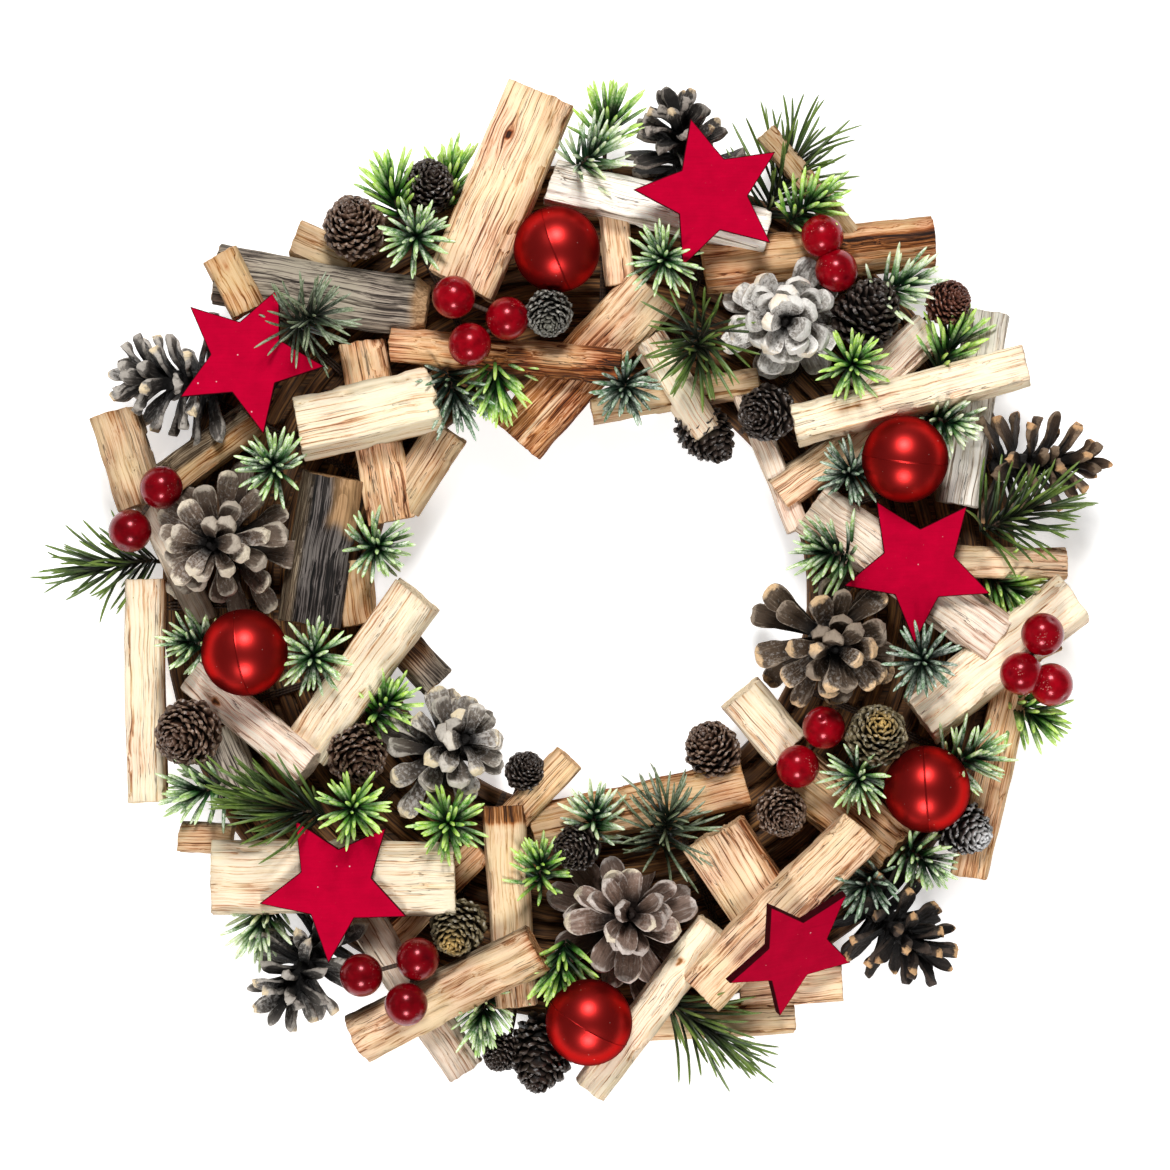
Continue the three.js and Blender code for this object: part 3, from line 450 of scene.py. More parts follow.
def section_outline(corners):
    """Points round a section with its corners just broken, and how near each is to a corner."""
    points, nearness = [], []
    for k, corner in enumerate(corners):
        before, after = corners[k - 1], corners[(k + 1) % len(corners)]
        edge = np.linalg.norm(after - corner)
        into = unit(before - corner)
        onto = unit(after - corner)
        blunt = min(STICK["broken_corner"], edge * 0.3)
        points += [corner + into * blunt, corner + (into + onto) * blunt * 0.25]
        nearness += [1.0, 1.0]
        count = max(1, int(edge / STICK["point_spacing"]))
        for j in range(count):
            share = mix(blunt / edge, 1 - 2 * blunt / edge, j / count)
            points.append(corner + (after - corner) * share)
            nearness.append(bell(edge * min(share, 1 - share), STICK["worn_edge"]))
    return np.array(points), np.array(nearness)


def end_shape(yz, rng, torn, salt):
    """How far an end face stands out at each point of its section."""
    slope = rng.uniform(-0.07, 0.07, 2)
    fibres = rumple(np.column_stack([np.zeros(len(yz)), yz / 1.1]), salt)
    tears = rumple(np.column_stack([np.full(len(yz), 7.3), yz / 3.2]), salt)
    amount = 1.5 if torn else 0.45
    return yz @ slope + amount * (0.45 * fibres + 0.75 * tears) - 0.4


def block_scorch_and_shade(marks, t, y, z, width):
    """Share of scorching over a block, from 0 to 1, with painted shade on the low side and the right side
    where marked; t runs from 0 to 1 along it.
    """
    streaks = 0.5 + 0.5 * rumple(field(t * 1.5, y / 1.4, z / 1.4), 31)
    char = np.zeros_like(y)
    darkenings = []
    if "scorched" in marks:
        tongues = rumple(field(t * 7, y / 3.5, z / 6), 8)
        char = 0.3 * streaks + ease(0.2, 0.42, t + 0.1 * tongues) * (0.45 + 0.4 * streaks)
        spared = bell(t - 0.7 - 0.12 * tongues, 0.16) * ease(-0.2, 0.3, y / width + 0.3)
        char = char * (1 - 0.85 * spared)
    if "scorched_a" in marks:
        darkenings.append((1 - ease(0.3, 0.9, t)) * (0.6 + 0.4 * streaks))
    if "scorched_b" in marks:
        darkenings.append(ease(0.1, 0.6, t) * (0.35 + 0.5 * streaks) - 0.6 * bell(y - 0.12 * width, 0.9))
    if "char_a" in marks:
        darkenings.append(0.7 * bell(t - 0.24, 0.07) * ease(0.5, 0.9, streaks))
    if "char_b" in marks:
        darkenings += [ease(0.4, 0.6, t) * bell(y - 0.06 * width, 3.6, 4), 0.35 * streaks]
    if "dark_a" in marks:
        darkenings.append(0.8 * (1 - ease(0.08, 0.12, t + 0.02 * streaks)))
    if "dark_b" in marks:
        darkenings.append(0.5 * ease(0.965, 1, t))
    # Painted shade: darker towards the low side of the block.
    if "dark_low" in marks:
        darkenings.append(0.6 * ease(0.1, 0.45, -z / 12))
    # Partly dirt, partly painted shade: the right side face is darker.
    if "dark_right" in marks:
        darkenings.append(0.65 * ease(0.36, 0.5, y / width))
    # Scorching and painted shade: the darkest of them wins.
    for burn in darkenings:
        char = np.maximum(char, burn)
    return np.clip(char, 0, 1)


def wood_block(shell, row, number, finishes):
    """One stick: a section drawn along the grain, rumpled by its fibres, with worn edges."""
    xa, ya, xb, yb, steps, thick, za, zb, section, finish, words = row
    marks = words.split()
    rng = np.random.default_rng(SEEDS["wood"] + number)
    a, b = place(xa, ya, za), place(xb, yb, zb)
    axis = unit(b - a)
    roll = np.random.default_rng(SEEDS["wood_roll"] + number).uniform(-7, 7)
    roll = roll * 0.4 if "sawn" in marks else roll
    roll = 11 if "rolled" in marks else -11 if "rolled_back" in marks else roll
    side, up = turned(*square_to(axis), math.radians(roll))
    length = np.linalg.norm(b - a)
    width = steps * STEP * STICK["widened"]
    corners = SECTIONS[section] * (width, thick)
    if section != "log":
        corners = corners + rng.uniform(-0.03, 0, corners.shape) * np.sign(corners) * (width, thick)
    outline, nearness = section_outline(corners)
    if section == "log":
        nearness = nearness * 0
    facing = unit((np.roll(outline, -1, 0) - np.roll(outline, 1, 0))[:, ::-1] * (1, -1))
    rough = 1.7 if "rough" in marks else 0.75 if "sawn" in marks else 1.15
    salt = number * 17

    # The long faces, with chipped edges and split-off slivers.
    rows = max(8, int(length / STICK["row_spacing"]))
    t = np.concatenate([[0, 0.25 / length], np.linspace(0.9 / length, 1 - 0.9 / length, rows),
                        [1 - 0.25 / length, 1]])
    along = (t * length)[:, None]
    spot = field(along, outline[:, 0], outline[:, 1])
    relief = sum(depth * rumple(spot * (1 / run, 1 / across, 1 / across), salt + k)
                 for k, (run, across, depth) in enumerate(WOOD_RELIEF.values()))
    chips = ease(0.0, 0.7, rumple(spot * (1 / 6.5, 1 / 6, 1 / 6), salt + 3))
    splits = ease(0.45, 0.8, rumple(spot * (1 / 30, 1 / 2.1, 1 / 2.1), salt + 6))
    depth = rough * relief - 0.15 * rough
    depth = depth - nearness * chips * 1.5 * rough - splits * 0.9
    depth[[0, -1]] -= 0.3
    y = outline[:, 0] + depth * facing[:, 0] + 0.6 * rumple(field(along / 38, 0, 0), salt + 4)
    z = outline[:, 1] + depth * facing[:, 1]

    # The ends: the last row drawn in towards the middle, then shaped by broken fibres.
    end_a, end_b = rng.integers(1, 1000, 2)
    shrink = np.array([0.2, 0.45, 0.68, 0.86, 0.96])
    y, z = (np.vstack([np.outer(shrink, part[0]), part, np.outer(shrink[::-1], part[-1])])
            for part in (y, z))
    caps = len(shrink)
    t = np.concatenate([np.zeros(caps), t, np.ones(caps)])
    if "tan_ends" in marks:
        worn_off = 1 - 0.24 * ease(0.93, 1, t)[:, None]
        y, z = y * worn_off, z * worn_off
    yz = np.column_stack([y.ravel(), z.ravel()])
    out_a = end_shape(yz, rng, "torn_a" in marks, int(end_a)).reshape(y.shape)
    out_b = end_shape(yz, rng, "torn_b" in marks, int(end_b)).reshape(y.shape)
    x = mix(-out_a, length + out_b, t[:, None])
    rings = a + x[..., None] * axis + y[..., None] * side + z[..., None] * up

    # What the finish needs to know: broken ends, scorching, bark, stains, and painted shade along the edges,
    # at the ends and on the lower side faces.
    inside = field(x, y, z)
    wander = rumple(inside / (6, 4, 4), salt)
    patch = rumple(inside / (9, 4, 4), salt + 5)
    end = np.zeros_like(y)
    end[:caps + 1] = 1
    end[-caps - 1:] = 1
    if "tan_a" in marks:
        raw = ease(-0.05, 0.15, y / width + 0.12 * patch) * (1 - ease(0.32, 0.42, x / length + 0.08 * patch))
        end = np.maximum(end, raw)
    if "tan_ends" in marks:
        end = np.maximum(end, ease(0.91, 0.95, x / length + 0.02 * patch))
    bark = np.zeros_like(y)
    if "bark_left" in marks:
        bark = ease(0.3, 0.44, y / width + 0.06 * wander)
    if "bark_right" in marks:
        bark = ease(0.3, 0.44, -y / width)
    if "bark_half" in marks:
        bark = ease(0.0, 0.1, y / width + 0.05 * wander)
    char = block_scorch_and_shade(marks, np.clip(x / length, 0, 1), y, z, width)
    drift = rng.uniform(-400, 400)
    pith = rng.uniform(0.8, 1.6, 2) * rng.choice([-1, 1], 2) * (width, thick)
    lie = inside + (drift, *pith)
    if "knot" in marks:
        at, off = rng.uniform(0.22, 0.28) * length, -0.12 * width
        away = np.hypot((x - at) / 4.5, (y - off) / 3) + 100 * (z < 0)
        char = np.maximum(char, 0.95 * (1 - ease(0.22, 0.42, away)))
        lie[..., 1] -= 2 * np.tanh((y - off) / 1.5) * bell(away, 1)
    # Darker edges and ends: partly dirt, partly painted shade along the arrises.
    rim = np.zeros_like(y)
    rim[caps:-caps] = nearness * ease(-0.3, 0.5, rumple(spot / 8, salt + 7))
    rim = np.maximum(rim, np.exp(-np.minimum(x + 0.5, length - x + 0.5) / 1.2))
    # Painted shade: the lower part of the side faces is darker.
    shaded_flank = ease(0.3, 0.5, np.abs(y) / width) * (z < 0.38 * thick)
    blotch = 0.5 + 0.5 * rumple(inside / (22, 9, 9), salt + 8)
    # Real stains in blotches, with the painted shade of the edges and the side faces, lower the tone.
    stain_and_shade = np.clip(0.6 * rim + 0.35 * shaded_flank + 0.35 * ease(0.6, 0.95, blotch), 0, 1)
    low, high = (0.1, 0.3) if "dim" in marks else (0.9, 1.05) if "bright" in marks else (0.5, 0.9)
    tone = rng.uniform(low, high) - stain_and_shade
    tone = np.concatenate([tone.ravel(), tone[0, :1], tone[-1, :1]])
    shell.tube(rings, lie, field(end, char, bark), tone, finishes.index("split_" + finish))


def make_wood():
    """The sticks that are bonded to one another share a mesh."""
    number = 0
    for node, blocks in WOOD.items():
        shell = Shell()
        finishes = sorted({"split_" + row[9] for row in blocks})
        for row in blocks:
            number += 1
            wood_block(shell, row, number, finishes)
        make_piece(node, shell, finishes, "wood")


# Cones

# Scale of an open cone: width of its root against its end, how far it narrows at the waist,
# roundness of the end and where that starts, thickness at the root and the end, cupping and the
# keel below in mm, bend in degrees, number on a cone, extra width, looseness in degrees.
SCALE_SHAPES = {
    "plate": {"root": 0.4, "waist": 0.0, "round": 2.5, "from": 0.78, "thin": 1.2, "thick": 3.6,
              "cup": 1.1, "bend": 22, "scales": 36, "keel": 0.6, "broad": 1.3, "loose": 11},
    "tongue": {"root": 0.42, "waist": 0.12, "round": 2.6, "from": 0.8, "thin": 1.2, "thick": 3.7,
               "cup": 0.9, "bend": 26, "scales": 34, "keel": 0.8, "broad": 1.28, "loose": 16},
    "lozenge": {"root": 0.55, "waist": 0.0, "round": 2.0, "from": 0.74, "thin": 1.4, "thick": 2.3,
                "cup": 1.3, "bend": 24, "scales": 31, "keel": 0.3, "broad": 1.34, "loose": 18},
    "finger": {"root": 0.75, "waist": 0.0, "round": 1.5, "from": 0.7, "thin": 1.6, "thick": 2.6,
               "cup": 0.5, "bend": 20, "scales": 38, "keel": 0.8, "broad": 1.12, "loose": 15},
}
CORE = {"heights": np.array([0, 0.06, 0.3, 0.6, 0.84, 0.92]),
        "radii": np.array([0.3, 1.0, 0.95, 0.75, 0.5, 0.15]), "around": 10, "slim": 0.2}

# Scale of a closed cone: how far along it, half width and thickness.
SMALL_SCALE = np.array([(0, 0.7, 0.035), (0.3, 0.95, 0.035), (0.6, 1.0, 0.04), (0.82, 0.86, 0.05),
                        (0.95, 0.62, 0.04), (1.0, 0.25, 0.012)])


def cone_scale(shell, root, out, axis, reach, width, rise, shape, height, rng):
    """One woody scale: a tongue, thin at its root, with a thick blunt end turned outwards."""
    s = 1 - (1 - np.linspace(0, 1, OPEN_SCALE["rows"])[:, None]) ** 1.35
    bend = shape["bend"] * rng.uniform(0.5, 1.3)
    angles = np.radians(rise + bend * (0.6 - 1.2 * s))
    across = unit(np.cross(axis, out))
    sway = np.radians(rng.uniform(-16, 16)) * s
    ahead = np.cos(sway) * out + np.sin(sway) * across
    runs = np.cos(angles) * ahead + np.sin(angles) * axis
    path = root + np.cumsum(runs * np.diff(s, axis=0, prepend=0) * reach, axis=0)
    uppers = np.cos(angles) * axis - np.sin(angles) * ahead
    twist = np.radians(rng.uniform(-38, 38)) * s
    sides, uppers = turned(np.cross(uppers, runs), uppers, twist)

    broad = mix(shape["root"], 1, ease(0, 0.8, s)) - shape["waist"] * bell(s - 0.5, 0.2)
    tail = np.clip((s - shape["from"]) / (1 - shape["from"]), 0, 1) * 0.96
    half = width / 2 * broad * (1 - tail ** shape["round"]) ** (1 / shape["round"])
    thick = mix(shape["thin"], shape["thick"], ease(0.5, 0.9, s)) * (1 - 0.35 * tail ** 3)
    cos, sin = circle(OPEN_SCALE["around"])
    flat = np.sign(cos) * np.abs(cos) ** 0.6
    high = np.sign(sin) * np.abs(sin) ** 0.35
    u = flat * half * (1 + rng.uniform(-0.12, 0.12) * np.sign(flat))
    lift = high * thick / 2 - 0.42 * (thick - shape["thin"])
    cup = shape["cup"] * rng.uniform(0.2, 1.6)
    lift = lift + cup * (flat ** 2 - 0.4) * broad * (1 - 0.4 * tail)
    grooves = bell(np.abs(flat) - 0.42, 0.2) * (sin > 0.2)
    lift = lift - 0.35 * grooves * ease(0.1, 0.3, s) * (1 - ease(0.6, 0.85, s))
    lift = lift - shape["keel"] * bell(flat, 0.3) * (sin < 0) * ease(0.55, 0.9, s)
    lift = lift + 0.5 * (sin > 0.2) * (0.5 + 0.5 * flat ** 2) * ease(0.8, 0.93, s)
    spot = field(s * reach, u, lift)
    salt = int(rng.integers(1, 9999))
    uneven = rumple(spot * (1 / 3.2, 1 / 1.9, 1 / 2.0), salt)
    wrinkles = rumple(spot * (1 / 6.0, 1 / 0.9, 1 / 2.0), salt + 1)
    u = u * (1 + 0.09 * uneven)
    lift = lift + 0.3 * uneven + 0.16 * wrinkles
    rings = path[:, None] + u[..., None] * sides[:, None] + lift[..., None] * uppers[:, None]
    mark = field(s, np.abs(flat), ease(-0.3, 0.5, sin))
    shell.tube(rings, spot + rng.uniform(-200, 200, 3), mark, height, 0, (False, True))


def large_cone(shell, row, number):
    """Open cone: woody scales in spirals round a slim core, flatter towards its foot."""
    x, y, z, radius, length, direction, rise, width, shape_name, _ = row
    shape = SCALE_SHAPES[shape_name]
    rng = np.random.default_rng(SEEDS["open_cone"] + number)
    axis = heading(direction, rise)
    foot = place(x, y, z) - axis * length / 2
    slim = CORE["slim"] * radius
    core = lathe(foot, axis, CORE["heights"] * length, CORE["radii"] * slim, CORE["around"])
    shell.tube(core, core, (0, 0, 0), 0.3)
    count = shape["scales"]
    for i in range(count):
        t = (i + 0.3) / (count - 1 + 0.3)
        out = fan(axis, i * GOLDEN_TURN + rng.uniform(-0.3, 0.3))
        root = foot + axis * length * (0.08 + 0.78 * t) + out * slim * (0.8 - 0.5 * t)
        reach = radius * (0.92 - 0.34 * t) * rng.uniform(0.84, 1.1)
        tilt = mix(-10, 64, t ** 1.05) + rng.uniform(-1, 1) * shape["loose"]
        if root[2] + reach * math.sin(math.radians(tilt)) * axis[2] < 5 and out[2] < -0.2:
            tilt += 20
        broad = width * shape["broad"] * (1 - 0.3 * t) * rng.uniform(0.82, 1.15)
        cone_scale(shell, root, out, axis, reach, broad, tilt, shape, t, rng)


def egg(t):
    """How wide a closed cone is at a share of its height."""
    return np.sin(math.pi * t ** 0.8) ** 0.6


def small_cone(shell, row, number, finishes):
    """Closed cone: thin crinkled scales packed in spirals over an egg-shaped body."""
    x, y, z, steps, direction, rise, stretch, finish = row
    rng = np.random.default_rng(SEEDS["small_cone"] + number)
    radius, axis = steps * STEP, heading(direction, rise)
    length = 2 * radius * stretch
    foot = place(x, y, z) - axis * length / 2
    index = finishes.index("small_cone_" + finish)
    t = np.linspace(0.02, 0.98, 12)
    body = lathe(foot, axis, t * length, 0.84 * radius * egg(t), 16)
    shell.tube(body, body, (0, 0, 0), 0.2, index)
    s, wide, thick = SMALL_SCALE.T[..., None]
    cos, sin = circle(SMALL_CONE["around"])
    for i in range(SMALL_CONE["scales"]):
        t = 0.03 + 0.95 * (i + 0.5) / SMALL_CONE["scales"]
        out = fan(axis, i * GOLDEN_TURN)
        slope = (egg(min(t + 0.03, 0.999)) - egg(t)) * radius / (0.03 * length)
        lean = math.atan2(1, slope) - math.radians(SMALL_CONE["lean"] + rng.uniform(-6, 10))
        run = out * math.cos(lean) + axis * math.sin(lean)
        across = unit(np.cross(axis, out))
        outward = np.cross(run, across)
        root = foot + axis * t * length + out * egg(t) * radius * 0.74
        reach = radius * (0.5 - 0.16 * t) * rng.uniform(0.9, 1.1)
        half = radius * 0.29 * (0.45 + 0.55 * egg(t)) * rng.uniform(0.9, 1.1)
        path = root + s * reach * run - s ** 2 * reach * 0.16 * outward
        crinkle = 0.26 * half * np.sin(cos * 5 + rng.uniform(0, 6))
        lift = radius * thick * sin + crinkle * s ** 2
        points = path[:, None] + (half * wide * cos)[..., None] * across - lift[..., None] * outward
        shell.tube(points, points + rng.uniform(-50, 50, 3), field(s, np.abs(cos), t),
                   rng.uniform(0, 1), index, (False, True))


def make_cones():
    """Open cones one by one, then the closed ones with the wires that hold them."""
    for number, (node, row) in enumerate(LARGE_CONES.items()):
        shell = Shell()
        large_cone(shell, row, number)
        make_piece(node, shell, [row[9]], "open_cone")
    number = 0
    for k, rows in enumerate(SMALL_CONE_WIRES):
        shell = Shell()
        finishes = sorted({"small_cone_" + row[7] for row in rows}) + ["stem_wire"]
        for row in rows:
            number += 1
            small_cone(shell, row, number, finishes)
            x, y, z, steps, direction, rise = row[:6]
            path = stem_path(place(x, y, z), heading(direction, rise), steps * STEP)
            rod(shell, path, STEM["cone_wire"], 6, len(finishes) - 1)
        make_piece(f"small_cones_{k + 1}", shell, finishes)


# Fir sprigs

def needles(shell, roots, runs, lengths, thick, droop, tones, finish):
    """Blunt needles, all alike in section, each with a ridge towards the front."""
    s, girth = np.array(NEEDLE["profile"]).T
    face = np.array([0, 0, 1.0]) - runs * runs[:, 2:3]
    face = unit(face + 1e-3)
    across = np.cross(face, runs)
    cos, sin = circle(5, math.pi / 2)
    sag = (droop[:, :1] * face + droop[:, 1:] * across) * lengths[:, None]
    path = (roots[:, None, :] + runs[:, None, :] * (s[:, None] * lengths[:, None, None])
            - sag[:, None, :] * (s ** 2)[:, None])
    ring = cos[:, None] * across[:, None, None] + sin[:, None] * (face[:, None, None] * 0.8)
    rings = path[:, :, None, :] + ring * (girth * thick)[:, None, None]
    mark = field(s[:, None], np.clip(sin, 0, 1), 0)
    for points, length, tone in zip(rings, lengths, tones):
        lie = field(s[:, None] * length, cos, sin)
        shell.tube(points, lie + points[0, 0] * 3, mark, tone, finish, (False, True))


def short_sprig(shell, head, axis, opening, rng, finish):
    """Tuft of needles in tiers: the low ones spread wide, the top ones stand by the twig."""
    count = int(36 + opening * 0.14)
    k = np.arange(count)
    share = (k + 0.5) / count
    away = np.radians(opening * 1.1) * np.sqrt(share) + rng.normal(0, 0.1, count)
    out = fan(axis, k * GOLDEN_TURN + rng.uniform(-0.3, 0.3, count))
    runs = unit(np.cos(away)[:, None] * axis + np.sin(away)[:, None] * out)
    front, back = (5, -9) if opening <= 70 else (2.5, -5)
    roots = head + axis * mix(front, back, share)[:, None] + out * 0.5
    reach = NEEDLE["reach"] * rng.uniform(0.84, 1.14, count)
    lengths = np.where(share < 0.2, reach * 0.78, reach) * (1.22 if opening <= 62 else 1.0)
    needles(shell, roots, runs, lengths, NEEDLE["thick"] * rng.uniform(0.9, 1.05),
            rng.normal(0, 0.07, (count, 2)), rng.uniform(0, 1, count), finish)


def long_spray(shell, head, axis, opening, reach, rng, finish):
    """Soft long needles raked forward all along a slim twig."""
    count, twig = NEEDLE["long_count"], NEEDLE["twig"]
    k = np.arange(count)
    t = (k + 0.5) / count
    out = fan(axis, k * GOLDEN_TURN + rng.uniform(-0.3, 0.3, count))
    away = np.radians(opening * (1 - 0.74 * t) + rng.uniform(-10, 10, count))
    runs = unit(np.cos(away)[:, None] * axis + np.sin(away)[:, None] * out)
    roots = head + axis * mix(-10, twig, t)[:, None]
    lengths = reach * rng.uniform(0.72, 1.12, count)
    rod(shell, [head - axis, head + axis * twig * 0.5, head + axis * twig], [0.9, 0.8, 0.5], 6, finish)
    needles(shell, roots, runs, lengths, NEEDLE["long_thick"], rng.normal(0.03, 0.12, (count, 2)),
            rng.uniform(0, 1, count), finish)


def make_greenery():
    """All the sprigs of one wire in one mesh, each with its stem down to the ring."""
    for number, rows in enumerate(GREENERY):
        shell = Shell()
        finishes = sorted({"needles_" + row[7] for row in rows}) + ["stem_wire"]
        rng = np.random.default_rng(SEEDS["sprig"] + number)
        for x, y, z, direction, rise, opening, reach, colour in rows:
            head, axis = place(x, y, z), heading(direction, rise)
            finish = finishes.index("needles_" + colour)
            if reach:
                long_spray(shell, head, axis, opening, reach, rng, finish)
            else:
                short_sprig(shell, head, axis, opening, rng, finish)
            rod(shell, stem_path(head, axis, 4), STEM["sprig_wire"], 6, len(finishes) - 1)
        make_piece(f"greenery_{number + 1}", shell, finishes)


# Stars, baubles and berries

def make_stars():
    """Thin ply cut to a star: the cut edge is scorched and the faces are painted."""
    half = STAR["thickness"] / 2
    # Size of the outline, level and share of scorching, from the back round the edge to the face.
    layers = [(0.1, -half, 0), (0.97, -half, 0), (1.0, -half + 0.15, 1), (1.003, -0.5, 1),
              (0.998, 0.5, 1), (1.0, half - 0.22, 1), (0.99, half - 0.04, 1), (0.976, half, 0.6),
              (0.962, half, 0), (0.9, half, 0), (0.7, half, 0), (0.4, half, 0), (0.1, half, 0)]
    grow, level, edge = np.array(layers).T[..., None]
    for number, (x, y, z, turn, lean_to, lean) in enumerate(STARS):
        shell = Shell()
        rng = np.random.default_rng(SEEDS["star"] + number)
        tips = np.arange(2 * STAR["points"])
        angles = np.radians(turn + tips * 180 / STAR["points"])
        radii = STAR["radius"] * np.where(tips % 2, STAR["waist"], 1)
        corners = np.column_stack([radii * np.cos(angles), radii * np.sin(angles)])
        outline = np.array([mix(here, after, share) for here, after in zip(corners, np.roll(corners, -1, 0))
                            for share in (0.012, 0.04, 0.14, 0.28, 0.42, 0.57, 0.71, 0.85, 0.95, 0.99)])
        knocks = rumple(np.column_stack([outline / 5, np.zeros(len(outline))]), number)
        outline = outline * (1 + 0.006 * knocks[:, None])
        rings = field(outline[:, 0] * grow, outline[:, 1] * grow, level)
        pivot = heading(lean_to + 90, 0)
        angle = math.radians(lean)
        leant = (rings * math.cos(angle) + np.cross(pivot, rings) * math.sin(angle)
                 + (rings @ pivot)[..., None] * pivot * (1 - math.cos(angle)))
        shell.tube(leant + place(x, y, z), rings + rng.uniform(-90, 90, 3),
                   field(edge, grow, np.zeros(len(outline))), rng.uniform(0, 1))
        make_piece(f"star_{number + 1}", shell, ["painted_ply"], "star")


def globe(shell, centre, radius, pole, dimple, seam, rows, around, tone=0.5, drift=0):
    """Round body turned about a pole, with a dimple at the pole and a fine seam at its waist."""
    latitude = np.linspace(-88, 88, rows)
    if seam:
        latitude = np.concatenate([latitude[np.abs(latitude) > 2], [-1.6, -0.7, -0.25, 0.25, 0.7, 1.6]])
        latitude = np.sort(latitude)
    angle = np.radians(latitude)
    grow = radius + seam * bell(latitude, 0.45) - dimple * bell(90 - latitude, 9)
    rings = lathe(centre, pole, grow * np.sin(angle), grow * np.cos(angle), around)
    at_seam = bell(latitude, 0.8) if seam else np.zeros(len(latitude))
    marks = field(at_seam[:, None], bell(90 - latitude, 12)[:, None], np.zeros(around))
    shell.tube(rings, rings - centre + drift, marks, tone)


def make_baubles():
    """Blown ball with a seam, and below it the ribbed collar that goes down into the ring."""
    down = BAUBLE["neck_length"]
    levels = np.array([-down, -down + 0.2, -0.75 * down, -0.5 * down, -0.25 * down, 0, 0.6])
    radii = np.array([2.1, 2.5, 2.3, 2.5, 2.3, 2.5, 2.4])
    collar = lathe(np.zeros(3), np.array([0, 0, 1.0]), levels, radii, 24)
    for number, (x, y, z, seam_turn) in enumerate(BAUBLES):
        shell = Shell()
        centre = place(x, y, z)
        globe(shell, centre, BAUBLE["radius"] - BAUBLE["seam"], heading(seam_turn, 6), 0, BAUBLE["seam"],
              BAUBLE["rows"], BAUBLE["around"])
        shell.tube(collar + centre - (0, 0, BAUBLE["radius"] - 1), collar, (0, 0, 0))
        make_piece(f"bauble_{number + 1}", shell, ["satin_bauble"])


def make_berries():
    """Berries joined by wire; each has its own shade of red."""
    for number, berries in enumerate(BERRY_PICKS):
        shell = Shell()
        rng = np.random.default_rng(SEEDS["berry"] + number)
        centres = [place(*berry) for berry in berries]
        middle = np.mean(centres, axis=0)
        for centre in centres:
            pole = unit(np.append((centre - middle)[:2] * 0.7, 0) + rng.normal(0, 3, 3) + (0, 0, 6))
            shade = rng.uniform(0, 1)
            shade = 0.35 * shade if number in DARK_PICKS else 1 - 0.45 * shade
            globe(shell, centre, BERRY["radius"], pole, BERRY["dimple"], 0, BERRY["rows"],
                  BERRY["around"], shade, rng.uniform(-90, 90, 3))
        for here, after in zip(centres, centres[1:]):
            rod(shell, [here, mix(here, after, 0.5), after], BERRY["wire"], 8, 1)
        make_piece(f"berry_pick_{number + 1}", shell, ["glossy_berry", "stem_wire"])


# Bound ring

def make_ring():
    """Flat ring of vine strands laid side by side, held by turns of binding wire."""
    shell = Shell()
    rng = np.random.default_rng(SEEDS["ring"])
    strand, across = RING["strand"], RING["across"]
    angles = np.linspace(0, 2 * math.pi, RING["segments"])
    outward = field(np.cos(angles), np.sin(angles), 0)
    cos, sin = circle(9)
    for layer, level in enumerate((strand + 0.5, RING["top"] - strand - 0.5)):
        for k in range(across):
            base = mix(RING["inner"] + strand, RING["outer"] - strand, k / (across - 1))
            salt = layer * 40 + k
            way = field(np.cos(angles) * 3, np.sin(angles) * 3, k * 1.7)
            radius = base + 1.1 * rumple(way, salt) * (0 < k < across - 1)
            height = level + 0.35 * rumple(way * 1.7, salt + 9)
            path = field(radius * np.cos(angles), radius * np.sin(angles), height) + RING_CENTRE
            girth = strand * (0.94 + 0.06 * rumple(way * 4, salt + 5))
            rings = path[:, None] + girth[:, None, None] * (
                sin[:, None] * np.array([0, 0, 1.0]) - cos[:, None] * outward[:, None])
            lie = field((angles * base)[:, None], cos * strand, sin * strand) + (salt * 37, 0, 0)
            shell.tube(rings, lie, (0, 0, 0), rng.uniform(0, 1), 0, (False, False))

    # A flat core, toned darker as painted shade, closes the gaps between the strands.
    width, middle = RING["outer"] - RING["inner"], (RING["outer"] + RING["inner"]) / 2
    cos, sin = circle(16)
    reach = middle + (width / 2 - 4) * np.sign(cos) * np.abs(cos) ** 0.5
    core = reach[:, None] * outward[:, None] + field(0, 0, RING["top"] / 2 + 2.6 * sin)
    core = core[:, ::-1] + RING_CENTRE
    shell.tube(core, core, (0, 0, 0), 0.1, 0, (False, False))

    a = np.linspace(0, 2 * math.pi, 25)
    cos, sin = np.cos(a), np.sin(a)
    reach = middle + (width - 0.8) / 2 * np.sign(cos) * np.abs(cos) ** 0.25
    level = RING["top"] / 2 + (RING["top"] / 2 - 0.4) * np.sign(sin) * np.abs(sin) ** 0.25
    for k in range(RING["bindings"]):
        turn = k * 2 * math.pi / RING["bindings"] + rng.uniform(-0.08, 0.08)
        for spin in (turn - 0.008, turn, turn + 0.008):
            loop = field(reach * math.cos(spin), reach * math.sin(spin), level) + RING_CENTRE
            rod(shell, loop, RING["binding_wire"], 6, 1)
    make_piece("backing_ring", shell, ["bound_vine", "stem_wire"])


# Finishes. A place in a piece is in millimetres, so the scale of a pattern is one over the size
# of its cells: 2 gives cells of half a millimetre.

def linear(hex_colour):
    """sRGB hex value as a linear colour."""
    channels = [int(hex_colour[i:i + 2], 16) / 255 for i in (1, 3, 5)]
    return tuple(c / 12.92 if c <= 0.04045 else ((c + 0.055) / 1.055) ** 2.4 for c in channels) + (1.0,)


